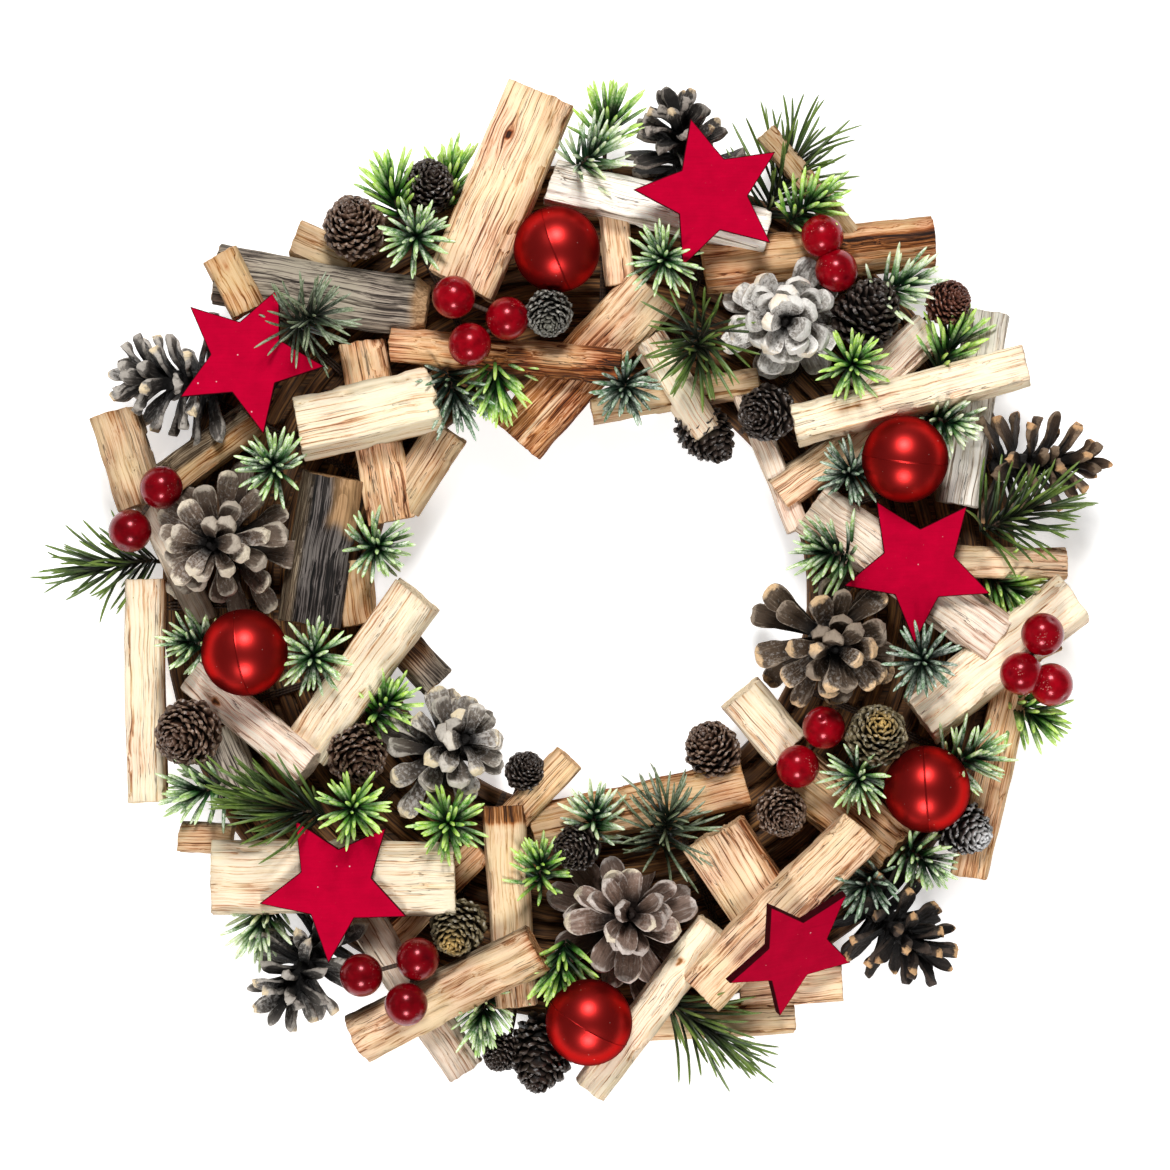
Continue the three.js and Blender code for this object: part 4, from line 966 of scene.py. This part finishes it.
def add_node(tree, kind, inputs=(), stops=(), **settings):
    """Adds a node with its settings. Inputs come by name or in order; each is a value, a hex
    colour, an output, or a node that feeds it by its first output."""
    made = tree.nodes.new("ShaderNode" + kind)
    for name, value in settings.items():
        setattr(made, name, value)
    for name, value in inputs.items() if isinstance(inputs, dict) else enumerate(inputs):
        if isinstance(value, bpy.types.Node):
            value = value.outputs[0]
        if isinstance(value, bpy.types.NodeSocket):
            tree.links.new(value, made.inputs[name])
        else:
            made.inputs[name].default_value = linear(value) if isinstance(value, str) else value
    for number, (position, colour) in enumerate(stops):
        ramp = made.color_ramp.elements
        stop = ramp[number] if number < 2 else ramp.new(position)
        stop.position = position
        stop.color = linear(colour) if isinstance(colour, str) else (colour,) * 3 + (1,)
    return made


GRAIN_STRETCH = 0.014
RING_SPACING = 2.3


def split_wood(add, lie, mark, tone, pale, mid, streak, dark, clean, raw=None):
    """Softwood split along the grain: fibres about a millimetre apart, growth rings 2.3 mm apart,
    raw and matte, with brown streaks, fine cracks, scorching and bark where it is marked. Its tone
    and its char also carry painted shade along the edges and on the side faces."""
    end, char, bark = mark
    bends = add("TexNoise", {"Vector": lie, "Scale": 0.05, "Detail": 2})
    shift = add("VectorMath", (bends.outputs["Color"], (0, 2.6, 2.6)), operation="MULTIPLY")
    drawn_out = add("VectorMath", (lie, (GRAIN_STRETCH, 1, 1)), operation="MULTIPLY")
    grain = add("VectorMath", (drawn_out, shift))
    fibres = add("TexNoise", {"Vector": grain, "Scale": 2, "Detail": 3, "Roughness": 0.65})
    streaks = add("TexNoise", {"Vector": grain, "Scale": 0.6, "Detail": 3, "Roughness": 0.6})
    blotches = add("TexNoise", {"Vector": lie, "Scale": 0.06, "Detail": 3})
    # A wave repeats every pi / 10 of its own unit.
    rings = add("TexWave", {"Vector": grain, "Scale": math.pi / 10 / RING_SPACING, "Distortion": 1.2,
                            "Detail": 2, "Detail Scale": 1.2},
                wave_type="RINGS", rings_direction="X", wave_profile="SAW")
    level = add("Math", (add("Math", (fibres, 0.55), operation="MULTIPLY"),
                         add("Math", (streaks, 0.45), operation="MULTIPLY")))
    lifted = add("Math", (level, add("MapRange", (blotches, 0.3, 0.7, -0.045, 0.055))))
    late_wood = add("MapRange", (rings.outputs["Fac"], 0.8, 1, 0, 0.11))
    lined = add("Math", (lifted, late_wood), operation="SUBTRACT")
    colour = add("ValToRGB", (lined,),
                 [(0.325 - clean, dark), (0.4 - clean, streak), (0.46 - clean, mid), (0.53, pale)])
    crack_run = add("VectorMath", (grain, (0.5, 1, 1)), operation="MULTIPLY")
    crack_lines = add("TexNoise", {"Vector": crack_run, "Scale": 0.7, "Detail": 2})
    crack = add("ValToRGB", (crack_lines,), [(0.49, 0), (0.498, 1), (0.502, 1), (0.51, 0)])
    patches = add("VectorMath", (lie, (0.2, 1, 1)), operation="MULTIPLY")
    broken = add("MapRange", (add("TexNoise", {"Vector": patches, "Scale": 0.14, "Detail": 1}), 0.5, 0.6))
    cracks = add("Math", (crack, broken), operation="MULTIPLY")
    cracked = add("MixRGB", (add("Math", (cracks, 0.85), operation="MULTIPLY"), colour, dark))
    # The tone darkens the wood by a random amount, by stains and by the painted shade at its edges and side
    # faces.
    toned = add("HueSaturation", {
        "Color": cracked, "Hue": add("MapRange", (blotches, 0.35, 0.65, 0.487, 0.506)),
        "Saturation": add("MapRange", (tone, -0.4, 0.9, 1.15, 0.95)),
        "Value": add("MapRange", (tone, -0.4, 0.9, 0.48, 1.24))})
    end_grain = add("HueSaturation", {
        "Color": raw or mid, "Value": add("MapRange", (lined, 0.36, 0.56, 0.5, 1))})
    ended = add("MixRGB", (add("Math", (end, 0.75), operation="MULTIPLY"), toned, end_grain))
    bark_colour = add("ValToRGB", (fibres,), [(0.36, "#241A12"), (0.5, "#6B5842"), (0.64, "#A8967C")])
    barked = add("MixRGB", (bark, ended, bark_colour))
    # char is scorching, plus painted shade on the low and right sides of some blocks.
    burnt = add("Math", (char, add("MapRange", (level, 0.42, 0.6, 1.4, 0.5))), operation="MULTIPLY")
    toasted = add("MixRGB", (add("MapRange", (burnt, 0, 0.6)), barked, "#D39A64"), blend_type="MULTIPLY")
    soot = add("ValToRGB", (fibres,), [(0.35, "#0C0705"), (0.55, "#3A2114"), (0.72, "#6E4526")])
    scorched = add("MixRGB", (add("MapRange", (burnt, 0.35, 1, 0, 0.94)), toasted, soot))
    relief = add("Math", (level, cracks), operation="SUBTRACT")
    bump = add("Bump", {"Height": relief, "Strength": 0.9, "Distance": 0.9 * MM})
    return add("BsdfPrincipled", {
        "Base Color": scorched, "Roughness": 0.8, "Specular IOR Level": 0.25, "Normal": bump})


def cone_scale_finish(add, lie, mark, tone, root, body, rim, knob, frost, share, raw_share):
    """Pine cone scale: woody and matte, painted shade at the root where scales overlap, paler at
    its rim, on some scales a raw tan end, dusted with frost that lies in grains of about half a millimetre."""
    along, edge, upper = mark
    by_scale = add("TexNoise", {"Vector": lie, "Scale": 0.025, "Detail": 0})
    mottle = add("TexNoise", {"Vector": lie, "Scale": 0.5, "Detail": 4, "Roughness": 0.65})
    drawn_out = add("VectorMath", (lie, (0.16, 1.3, 1)), operation="MULTIPLY")
    wrinkles = add("TexNoise", {"Vector": drawn_out, "Scale": 0.9, "Detail": 3})
    grains = add("TexNoise", {"Vector": lie, "Scale": 0.8, "Detail": 5, "Roughness": 0.7})
    depth = add("MapRange", (along, 0.25, 0.75))
    # Painted shade: the scale darkens towards its root, where the scales overlap.
    shaded = add("MixRGB", (depth, root, body))
    bleached = add("MixRGB", (add("MapRange", (along, 0.6, 1, 0, 0.75 * share)), shaded, rim))
    fibred = add("MixRGB", (add("MapRange", (wrinkles, 0.52, 0.7, 0, 0.45)), bleached, root))
    dry = add("MapRange", (wrinkles, 0.42, 0.32, 0, min(0.7, 1.6 * share)))
    striped = add("MixRGB", (add("Math", (depth, dry), operation="MULTIPLY"), fibred, rim))
    wander = add("Math", (edge, add("MapRange", (mottle, 0.3, 0.7, -0.12, 0.12))))
    at_rim = add("Math", (add("MapRange", (wander, 0.88, 1, 0, 0.85)), depth), operation="MULTIPLY")
    rimmed = add("MixRGB", (at_rim, striped, rim))
    uneven_end = add("Math", (along, add("MapRange", (mottle, 0.3, 0.7, -0.06, 0.06))))
    end_band = add("MapRange", (uneven_end, 0.9, 0.97))
    is_raw = add("MapRange", (by_scale, 0.6 - 0.2 * raw_share, 0.64 - 0.2 * raw_share))
    end_hue = add("MixRGB", (is_raw, rim, knob))
    ended = add("MixRGB", (add("Math", (end_band, 0.9), operation="MULTIPLY"), rimmed, end_hue))
    gathered = add("Math", (add("Math", (by_scale, 0.35), operation="MULTIPLY"),
                            add("Math", (tone, 0.12 * share), operation="MULTIPLY")))
    powder = add("Math", (grains, gathered))
    lying = add("Math", (add("MapRange", (powder, 0.8 - 0.25 * share, 0.92 - 0.22 * share)),
                         add("MapRange", (along, 0.15, 0.7, 0, min(1, share * 1.35)))),
                operation="MULTIPLY")
    frosting = add("Math", (lying, add("MapRange", (upper, 0, 1, 0.3, 1))), operation="MULTIPLY")
    frosted = add("MixRGB", (frosting, ended, frost))
    toned = add("HueSaturation", {
        "Color": frosted, "Value": add("MapRange", (by_scale, 0.3, 0.7, 0.75, 1.2))})
    relief = add("Math", (mottle, wrinkles), operation="SUBTRACT")
    bump = add("Bump", {"Height": relief, "Strength": 0.8, "Distance": 0.7 * MM})
    return add("BsdfPrincipled", {
        "Base Color": toned, "Roughness": 0.72, "Specular IOR Level": 0.3, "Normal": bump})


def small_cone_finish(add, lie, mark, tone, inside, body, edge, tip):
    """Closed cone scale: thin, resinous and a little shiny, with a paler crinkled edge."""
    along, _, height = mark
    mottle = add("TexNoise", {"Vector": lie, "Scale": 0.9, "Detail": 4, "Roughness": 0.7})
    deep = add("MixRGB", (add("MapRange", (along, 0.3, 0.85)), inside, body))
    worn = add("Math", (add("MapRange", (along, 0.8, 1)), add("MapRange", (mottle, 0.4, 0.6))),
               operation="MULTIPLY")
    edged = add("MixRGB", (worn, deep, edge))
    at_tip = add("Math", (add("MapRange", (height, 0.7, 1)), add("MapRange", (along, 0.5, 1))),
                 operation="MULTIPLY")
    tipped = add("MixRGB", (at_tip, edged, tip))
    toned = add("HueSaturation", {
        "Color": tipped, "Value": add("MapRange", (tone, 0, 1, 0.8, 1.25))})
    bump = add("Bump", {"Height": mottle, "Strength": 0.5, "Distance": 0.3 * MM})
    return add("BsdfPrincipled", {
        "Base Color": toned, "Roughness": 0.34, "Specular IOR Level": 0.6, "Normal": bump})


def needle_finish(add, lie, mark, tone, root, middle, upper, frost, share):
    """Moulded polyethylene needle: dark green at its root, brighter towards the end, with
    white flocking brushed along its ridge and flecked over its tip."""
    along, ridge, _ = mark
    ripeness = add("Math", (along, add("MapRange", (tone, 0, 1, -0.22, 0.14))))
    green = add("ValToRGB", (ripeness,), [(0.24, root), (0.54, middle), (0.86, upper)])
    grains = add("TexNoise", {"Vector": lie, "Scale": 0.75, "Detail": 3, "Roughness": 0.75})
    on_ridge = add("Math", (add("MapRange", (ridge, 0.2, 0.9, 0.15)),
                            add("MapRange", (along, 0.3, 0.85, 0, share))), operation="MULTIPLY")
    dusted = add("Math", (on_ridge, add("MapRange", (grains, 0.42, 0.56))), operation="MULTIPLY")
    frosted = add("MixRGB", (dusted, green, frost))
    return add("BsdfPrincipled", {"Base Color": frosted, "Roughness": 0.4, "Specular IOR Level": 0.45})


def painted_ply(add, lie, mark, tone):
    """Poplar ply brushed with matt red acrylic; the cut edge is scorched dark by the cutter.
    Fine fibres show under the paint, with a few dust specks and rubbed spots."""
    drawn_out = add("VectorMath", (lie, (0.08, 1, 1)), operation="MULTIPLY")
    fibres = add("TexNoise", {"Vector": drawn_out, "Scale": 1.4, "Detail": 3})
    mottle = add("TexNoise", {"Vector": lie, "Scale": 0.12, "Detail": 5, "Roughness": 0.65})
    paint = add("MixRGB", (add("MapRange", (mottle, 0.35, 0.65)), "#AA0028", "#B8002C"))
    brushed = add("HueSaturation", {
        "Color": paint, "Value": add("MapRange", (fibres, 0.3, 0.7, 0.95, 1.04))})
    dots = add("TexVoronoi", {"Vector": lie, "Scale": 0.15})
    rubs = add("TexNoise", {"Vector": lie, "Scale": 0.5, "Detail": 4, "Roughness": 0.8})
    speck = add("Math", (add("MapRange", (dots, 0.03, 0.05, 0.7, 0)),
                         add("MapRange", (rubs, 0.68, 0.8, 0, 0.25))))
    flecked = add("MixRGB", (speck, brushed, "#EFC4CA"))
    edged = add("MixRGB", (mark[0], flecked, add("MixRGB", (fibres, "#180306", "#440A12"))))
    bump = add("Bump", {"Height": fibres, "Strength": 0.3, "Distance": 0.15 * MM})
    return add("BsdfPrincipled", {
        "Base Color": edged, "Roughness": 0.7, "Specular IOR Level": 0.02, "Normal": bump})


def satin_bauble(add, lie, mark, tone):
    """Blown polystyrene with a satin metallic lacquer: it mirrors the lights as broad soft
    glows in its own red, darker along the mould seam, with a few dust specks."""
    mottle = add("TexNoise", {"Vector": lie, "Scale": 0.09, "Detail": 3})
    lacquer = add("MixRGB", (mottle, "#B02424", "#C02C28"))
    seamed = add("MixRGB", (add("Math", (mark[0], 0.45), operation="MULTIPLY"), lacquer, "#5A0408"))
    dots = add("TexVoronoi", {"Vector": lie, "Scale": 0.32})
    flecked = add("MixRGB", (add("MapRange", (dots, 0.05, 0.07, 0.8, 0)), seamed, "#F8D0C8"))
    grain = add("TexNoise", {"Vector": lie, "Scale": 2.5, "Detail": 2})
    bump = add("Bump", {"Height": grain, "Strength": 0.2, "Distance": 0.06 * MM})
    return add("BsdfPrincipled", {
        "Base Color": flecked, "Metallic": 0.94, "Roughness": 0.36, "Specular Tint": "#2A0408",
        "Normal": bump})


def glossy_berry(add, lie, mark, tone):
    """Foam berry dipped in clear red lacquer, with gold and dark glitter settled in patches."""
    mottle = add("TexNoise", {"Vector": lie, "Scale": 0.25, "Detail": 3, "Roughness": 0.6})
    lacquer = add("MixRGB", (add("MapRange", (mottle, 0.35, 0.65)), "#74000A", "#9C0214"))
    dots = add("TexVoronoi", {"Vector": lie, "Scale": 1.3})
    patches = add("TexNoise", {"Vector": lie, "Scale": 0.16, "Detail": 1})
    gathered = add("MapRange", (patches, 0.54, 0.66, 0, 0.3))
    speck = add("Math", (dots, gathered), operation="LESS_THAN")
    by_dot = add("SeparateColor", (dots.outputs["Color"],))
    flecked = add("MixRGB", (add("Math", (speck, 0.55), operation="MULTIPLY"), lacquer,
                             add("MixRGB", (by_dot, "#3A0008", "#F09A90"))))
    dimpled = add("MixRGB", (add("Math", (mark[1], 0.6), operation="MULTIPLY"), flecked, "#4A000C"))
    toned = add("HueSaturation", {
        "Color": dimpled, "Value": add("MapRange", (tone, 0, 1, 0.5, 1.08))})
    bump = add("Bump", {"Height": mottle, "Strength": 0.25, "Distance": 0.15 * MM})
    return add("BsdfPrincipled", {
        "Base Color": toned, "Roughness": 0.21, "Specular IOR Level": 0.75,
        "Specular Tint": "#F48992", "Normal": bump})


def stem_wire(add, lie, mark, tone):
    """Florist wire wrapped in dark brown paper tape, which shows as fine dull bands."""
    wraps = add("TexWave", {"Vector": lie, "Scale": 0.25, "Distortion": 0.6}).outputs["Fac"]
    tape = add("MixRGB", (wraps, "#2A1C14", "#4A3626"))
    bump = add("Bump", {"Height": wraps, "Strength": 0.4, "Distance": 0.1 * MM})
    return add("BsdfPrincipled", {"Base Color": tape, "Roughness": 0.8, "Normal": bump})


def bound_vine(add, lie, mark, tone):
    """Stripped vine: dark brown and matte, with long bark fibres about a millimetre wide."""
    drawn_out = add("VectorMath", (lie, (0.05, 1, 1)), operation="MULTIPLY")
    fibres = add("TexNoise", {"Vector": drawn_out, "Scale": 1.1, "Detail": 4})
    bark = add("ValToRGB", (fibres,), [(0.35, "#2C1A0D"), (0.52, "#6A4625"), (0.7, "#A0713F")])
    toned = add("HueSaturation", {"Color": bark, "Value": add("MapRange", (tone, 0, 1, 0.65, 1.2))})
    bump = add("Bump", {"Height": fibres, "Strength": 0.7, "Distance": 0.5 * MM})
    return add("BsdfPrincipled", {"Base Color": toned, "Roughness": 0.85, "Normal": bump})


# Every finish under the function that makes it, with its own colours and shares.
FINISHES = {
    # Pale early wood, its darker streaks, the thin late-wood lines, the deepest cracks, how clean it
    # is, and the colour of a broken end where that is not the colour of the streaks.
    split_wood: {
        "split_cream": ("#F7E6CA", "#F0D8B2", "#CDA072", "#7A5130", 0.02),
        "split_tan": ("#F0D2AC", "#E0B88C", "#AE7D50", "#553520", 0.005),
        "split_pink": ("#F6E4D0", "#E7CCB2", "#BE9778", "#6A4A38", 0.015),
        "split_whitish": ("#F8F2E6", "#E8DECC", "#B8A690", "#5D4F42", 0.015),
        "split_grey": ("#B0A492", "#857A6C", "#50473E", "#221C18", -0.02, "#C79A69"),
        "split_orange": ("#F2CDA2", "#DCAA76", "#9C683E", "#482A14", 0.01),
        "split_charred": ("#67605B", "#332D2A", "#161311", "#060505", -0.035, "#C79A69"),
    },
    # Root shade (painted shade where the scales overlap), body, rim, raw end, frost, share of frost, share
    # of raw ends.
    cone_scale_finish: {
        "cone_whitewashed": ("#140F0C", "#8A8076", "#F4F0E8", "#E2D0B4", "#F2EEE8", 0.56, 0.2),
        "cone_dark_frosted": ("#080605", "#1E1814", "#A69C92", "#CDB490", "#BDB8B4", 0.18, 0.3),
        "cone_brown_tan_tips": ("#100A07", "#4A3728", "#8A735C", "#CFA274", "#ABA59E", 0.1, 0.8),
        "cone_brown_frosted": ("#0E0907", "#5E4A3B", "#D4C6B4", "#E2D4BC", "#D8D0C8", 0.28, 0.5),
        "cone_dark_dusted": ("#090605", "#42301F", "#A59482", "#E6C194", "#CFC8C0", 0.22, 0.5),
        "cone_black_tan_tips": ("#0A0706", "#241D18", "#4A3D34", "#D2A778", "#7E7771", 0.1, 0.85),
        "cone_taupe": ("#1C110C", "#7E6354", "#DCCFC6", "#E6D8BE", "#CBBDB2", 0.22, 0.2),
        "cone_grey": ("#0E0A08", "#5C5045", "#DAD1C4", "#E4D2AE", "#D8D4CF", 0.36, 0.35),
        "cone_grey_tan_tips": ("#0A0807", "#403A35", "#BDB5AB", "#E2CCA6", "#CCC8C3", 0.32, 0.45),
    },
    # Inside, body, edge of the scales, colour at the tip of the cone.
    small_cone_finish: {
        "small_cone_brown": ("#1A100B", "#4C3427", "#9A806C", "#5C463A"),
        "small_cone_dark": ("#0F0B09", "#2C221D", "#5E524A", "#3A2F29"),
        "small_cone_russet": ("#1C0E0A", "#5A3226", "#8A5A48", "#5A3226"),
        "small_cone_olive": ("#1B150D", "#5C5038", "#94886A", "#C9A45C"),
        "small_cone_dusted": ("#0C0A08", "#3A3630", "#A6A298", "#78766A"),
        "small_cone_frosted": ("#15110F", "#57504B", "#DCDBDB", "#E2E2E2"),
    },
    # Root, middle, upper part, frost on the ridge, share of frost.
    needle_finish: {
        "needles_lime": ("#0C2810", "#478C1C", "#BCE850", "#F8FCD4", 0.65),
        "needles_frosted": ("#0A2010", "#347028", "#B4DC78", "#FAFCEC", 1.0),
        "needles_blue": ("#0A1A12", "#26452F", "#5E8A5A", "#F0F6EA", 0.85),
        "needles_white": ("#12301A", "#55883E", "#DCEEB0", "#FCFEF6", 1.0),
        "needles_sage": ("#10190E", "#36482C", "#64764C", "#D2D8C0", 0.6),
        "needles_long": ("#0E1608", "#2E4817", "#617C2A", "#B4C080", 0.24),
    },
    painted_ply: {"painted_ply": ()},
    satin_bauble: {"satin_bauble": ()},
    glossy_berry: {"glossy_berry": ()},
    stem_wire: {"stem_wire": ()},
    bound_vine: {"bound_vine": ()},
}


def finish_of(name):
    """The material of that name, made on first use."""
    if name in bpy.data.materials:
        return bpy.data.materials[name]
    material = bpy.data.materials.new(name)
    material.use_nodes = True
    tree = material.node_tree
    tree.nodes.clear()
    add = partial(add_node, tree)
    lie = add("Attribute", attribute_name="lie").outputs["Vector"]
    marks = add("SeparateXYZ", (add("Attribute", attribute_name="mark").outputs["Vector"],))
    tone = add("Attribute", attribute_name="tone").outputs["Fac"]
    make, values = next((make, named[name]) for make, named in FINISHES.items() if name in named)
    add("OutputMaterial", (make(add, lie, list(marks.outputs), tone, *values),))
    return material


# Studio

def make_studio():
    """White table, soft lights towards the top and the bottom of the wreath, a camera straight above."""
    scene = bpy.context.scene
    middle = place(CAMERA["picture"] / 2, CAMERA["picture"] / 2, 0) * MM
    half = TABLE["half"]
    table = bpy.data.meshes.new("table")
    corners = [(-half, -half, 0), (half, -half, 0), (half, half, 0), (-half, half, 0)]
    table.from_pydata(corners, [], [(0, 1, 2, 3)])
    paper = bpy.data.materials.new("white_paper")
    paper.use_nodes = True
    shader = paper.node_tree.nodes["Principled BSDF"].inputs
    shader["Base Color"].default_value = linear(TABLE["colour"])
    shader["Roughness"].default_value = 0.9
    shader["Emission Color"].default_value = (1, 1, 1, 1)
    shader["Emission Strength"].default_value = TABLE["glow"]
    table.materials.append(paper)
    floor = bpy.data.objects.new("table", table)
    scene.collection.objects.link(floor)

    world = bpy.data.worlds.new("studio")
    world.use_nodes = True
    air = world.node_tree.nodes["Background"].inputs
    air["Color"].default_value = (1, 1, 1, 1)
    air["Strength"].default_value = WORLD_STRENGTH
    scene.world = world

    for name, direction, tilt, size, power in LIGHTS:
        lamp = bpy.data.lights.new(name, "AREA")
        lamp.shape = "DISK"
        lamp.size = size
        lamp.energy = power
        light = bpy.data.objects.new(name, lamp)
        light.location = middle + heading(direction, 90 - tilt) * LIGHT_DISTANCE
        light.rotation_euler = (math.radians(tilt), 0, math.radians(direction + 90))
        light.visible_glossy = name != "light_left"
        scene.collection.objects.link(light)

    # At the sharp height the picture is as wide as the plan.
    lens = bpy.data.cameras.new("camera")
    distance = CAMERA["height"] - CAMERA["sharp_height"]
    lens.sensor_width = CAMERA["sensor"]
    lens.lens = CAMERA["sensor"] * distance / (CAMERA["picture"] * STEP)
    camera = bpy.data.objects.new("camera", lens)
    camera.location = middle + np.array([0, 0, CAMERA["height"] * MM])
    scene.collection.objects.link(camera)
    scene.camera = camera
    scene.view_settings.view_transform = "Standard"


make_studio()
make_ring()
make_wood()
make_stars()
make_baubles()
make_berries()
make_cones()
make_greenery()
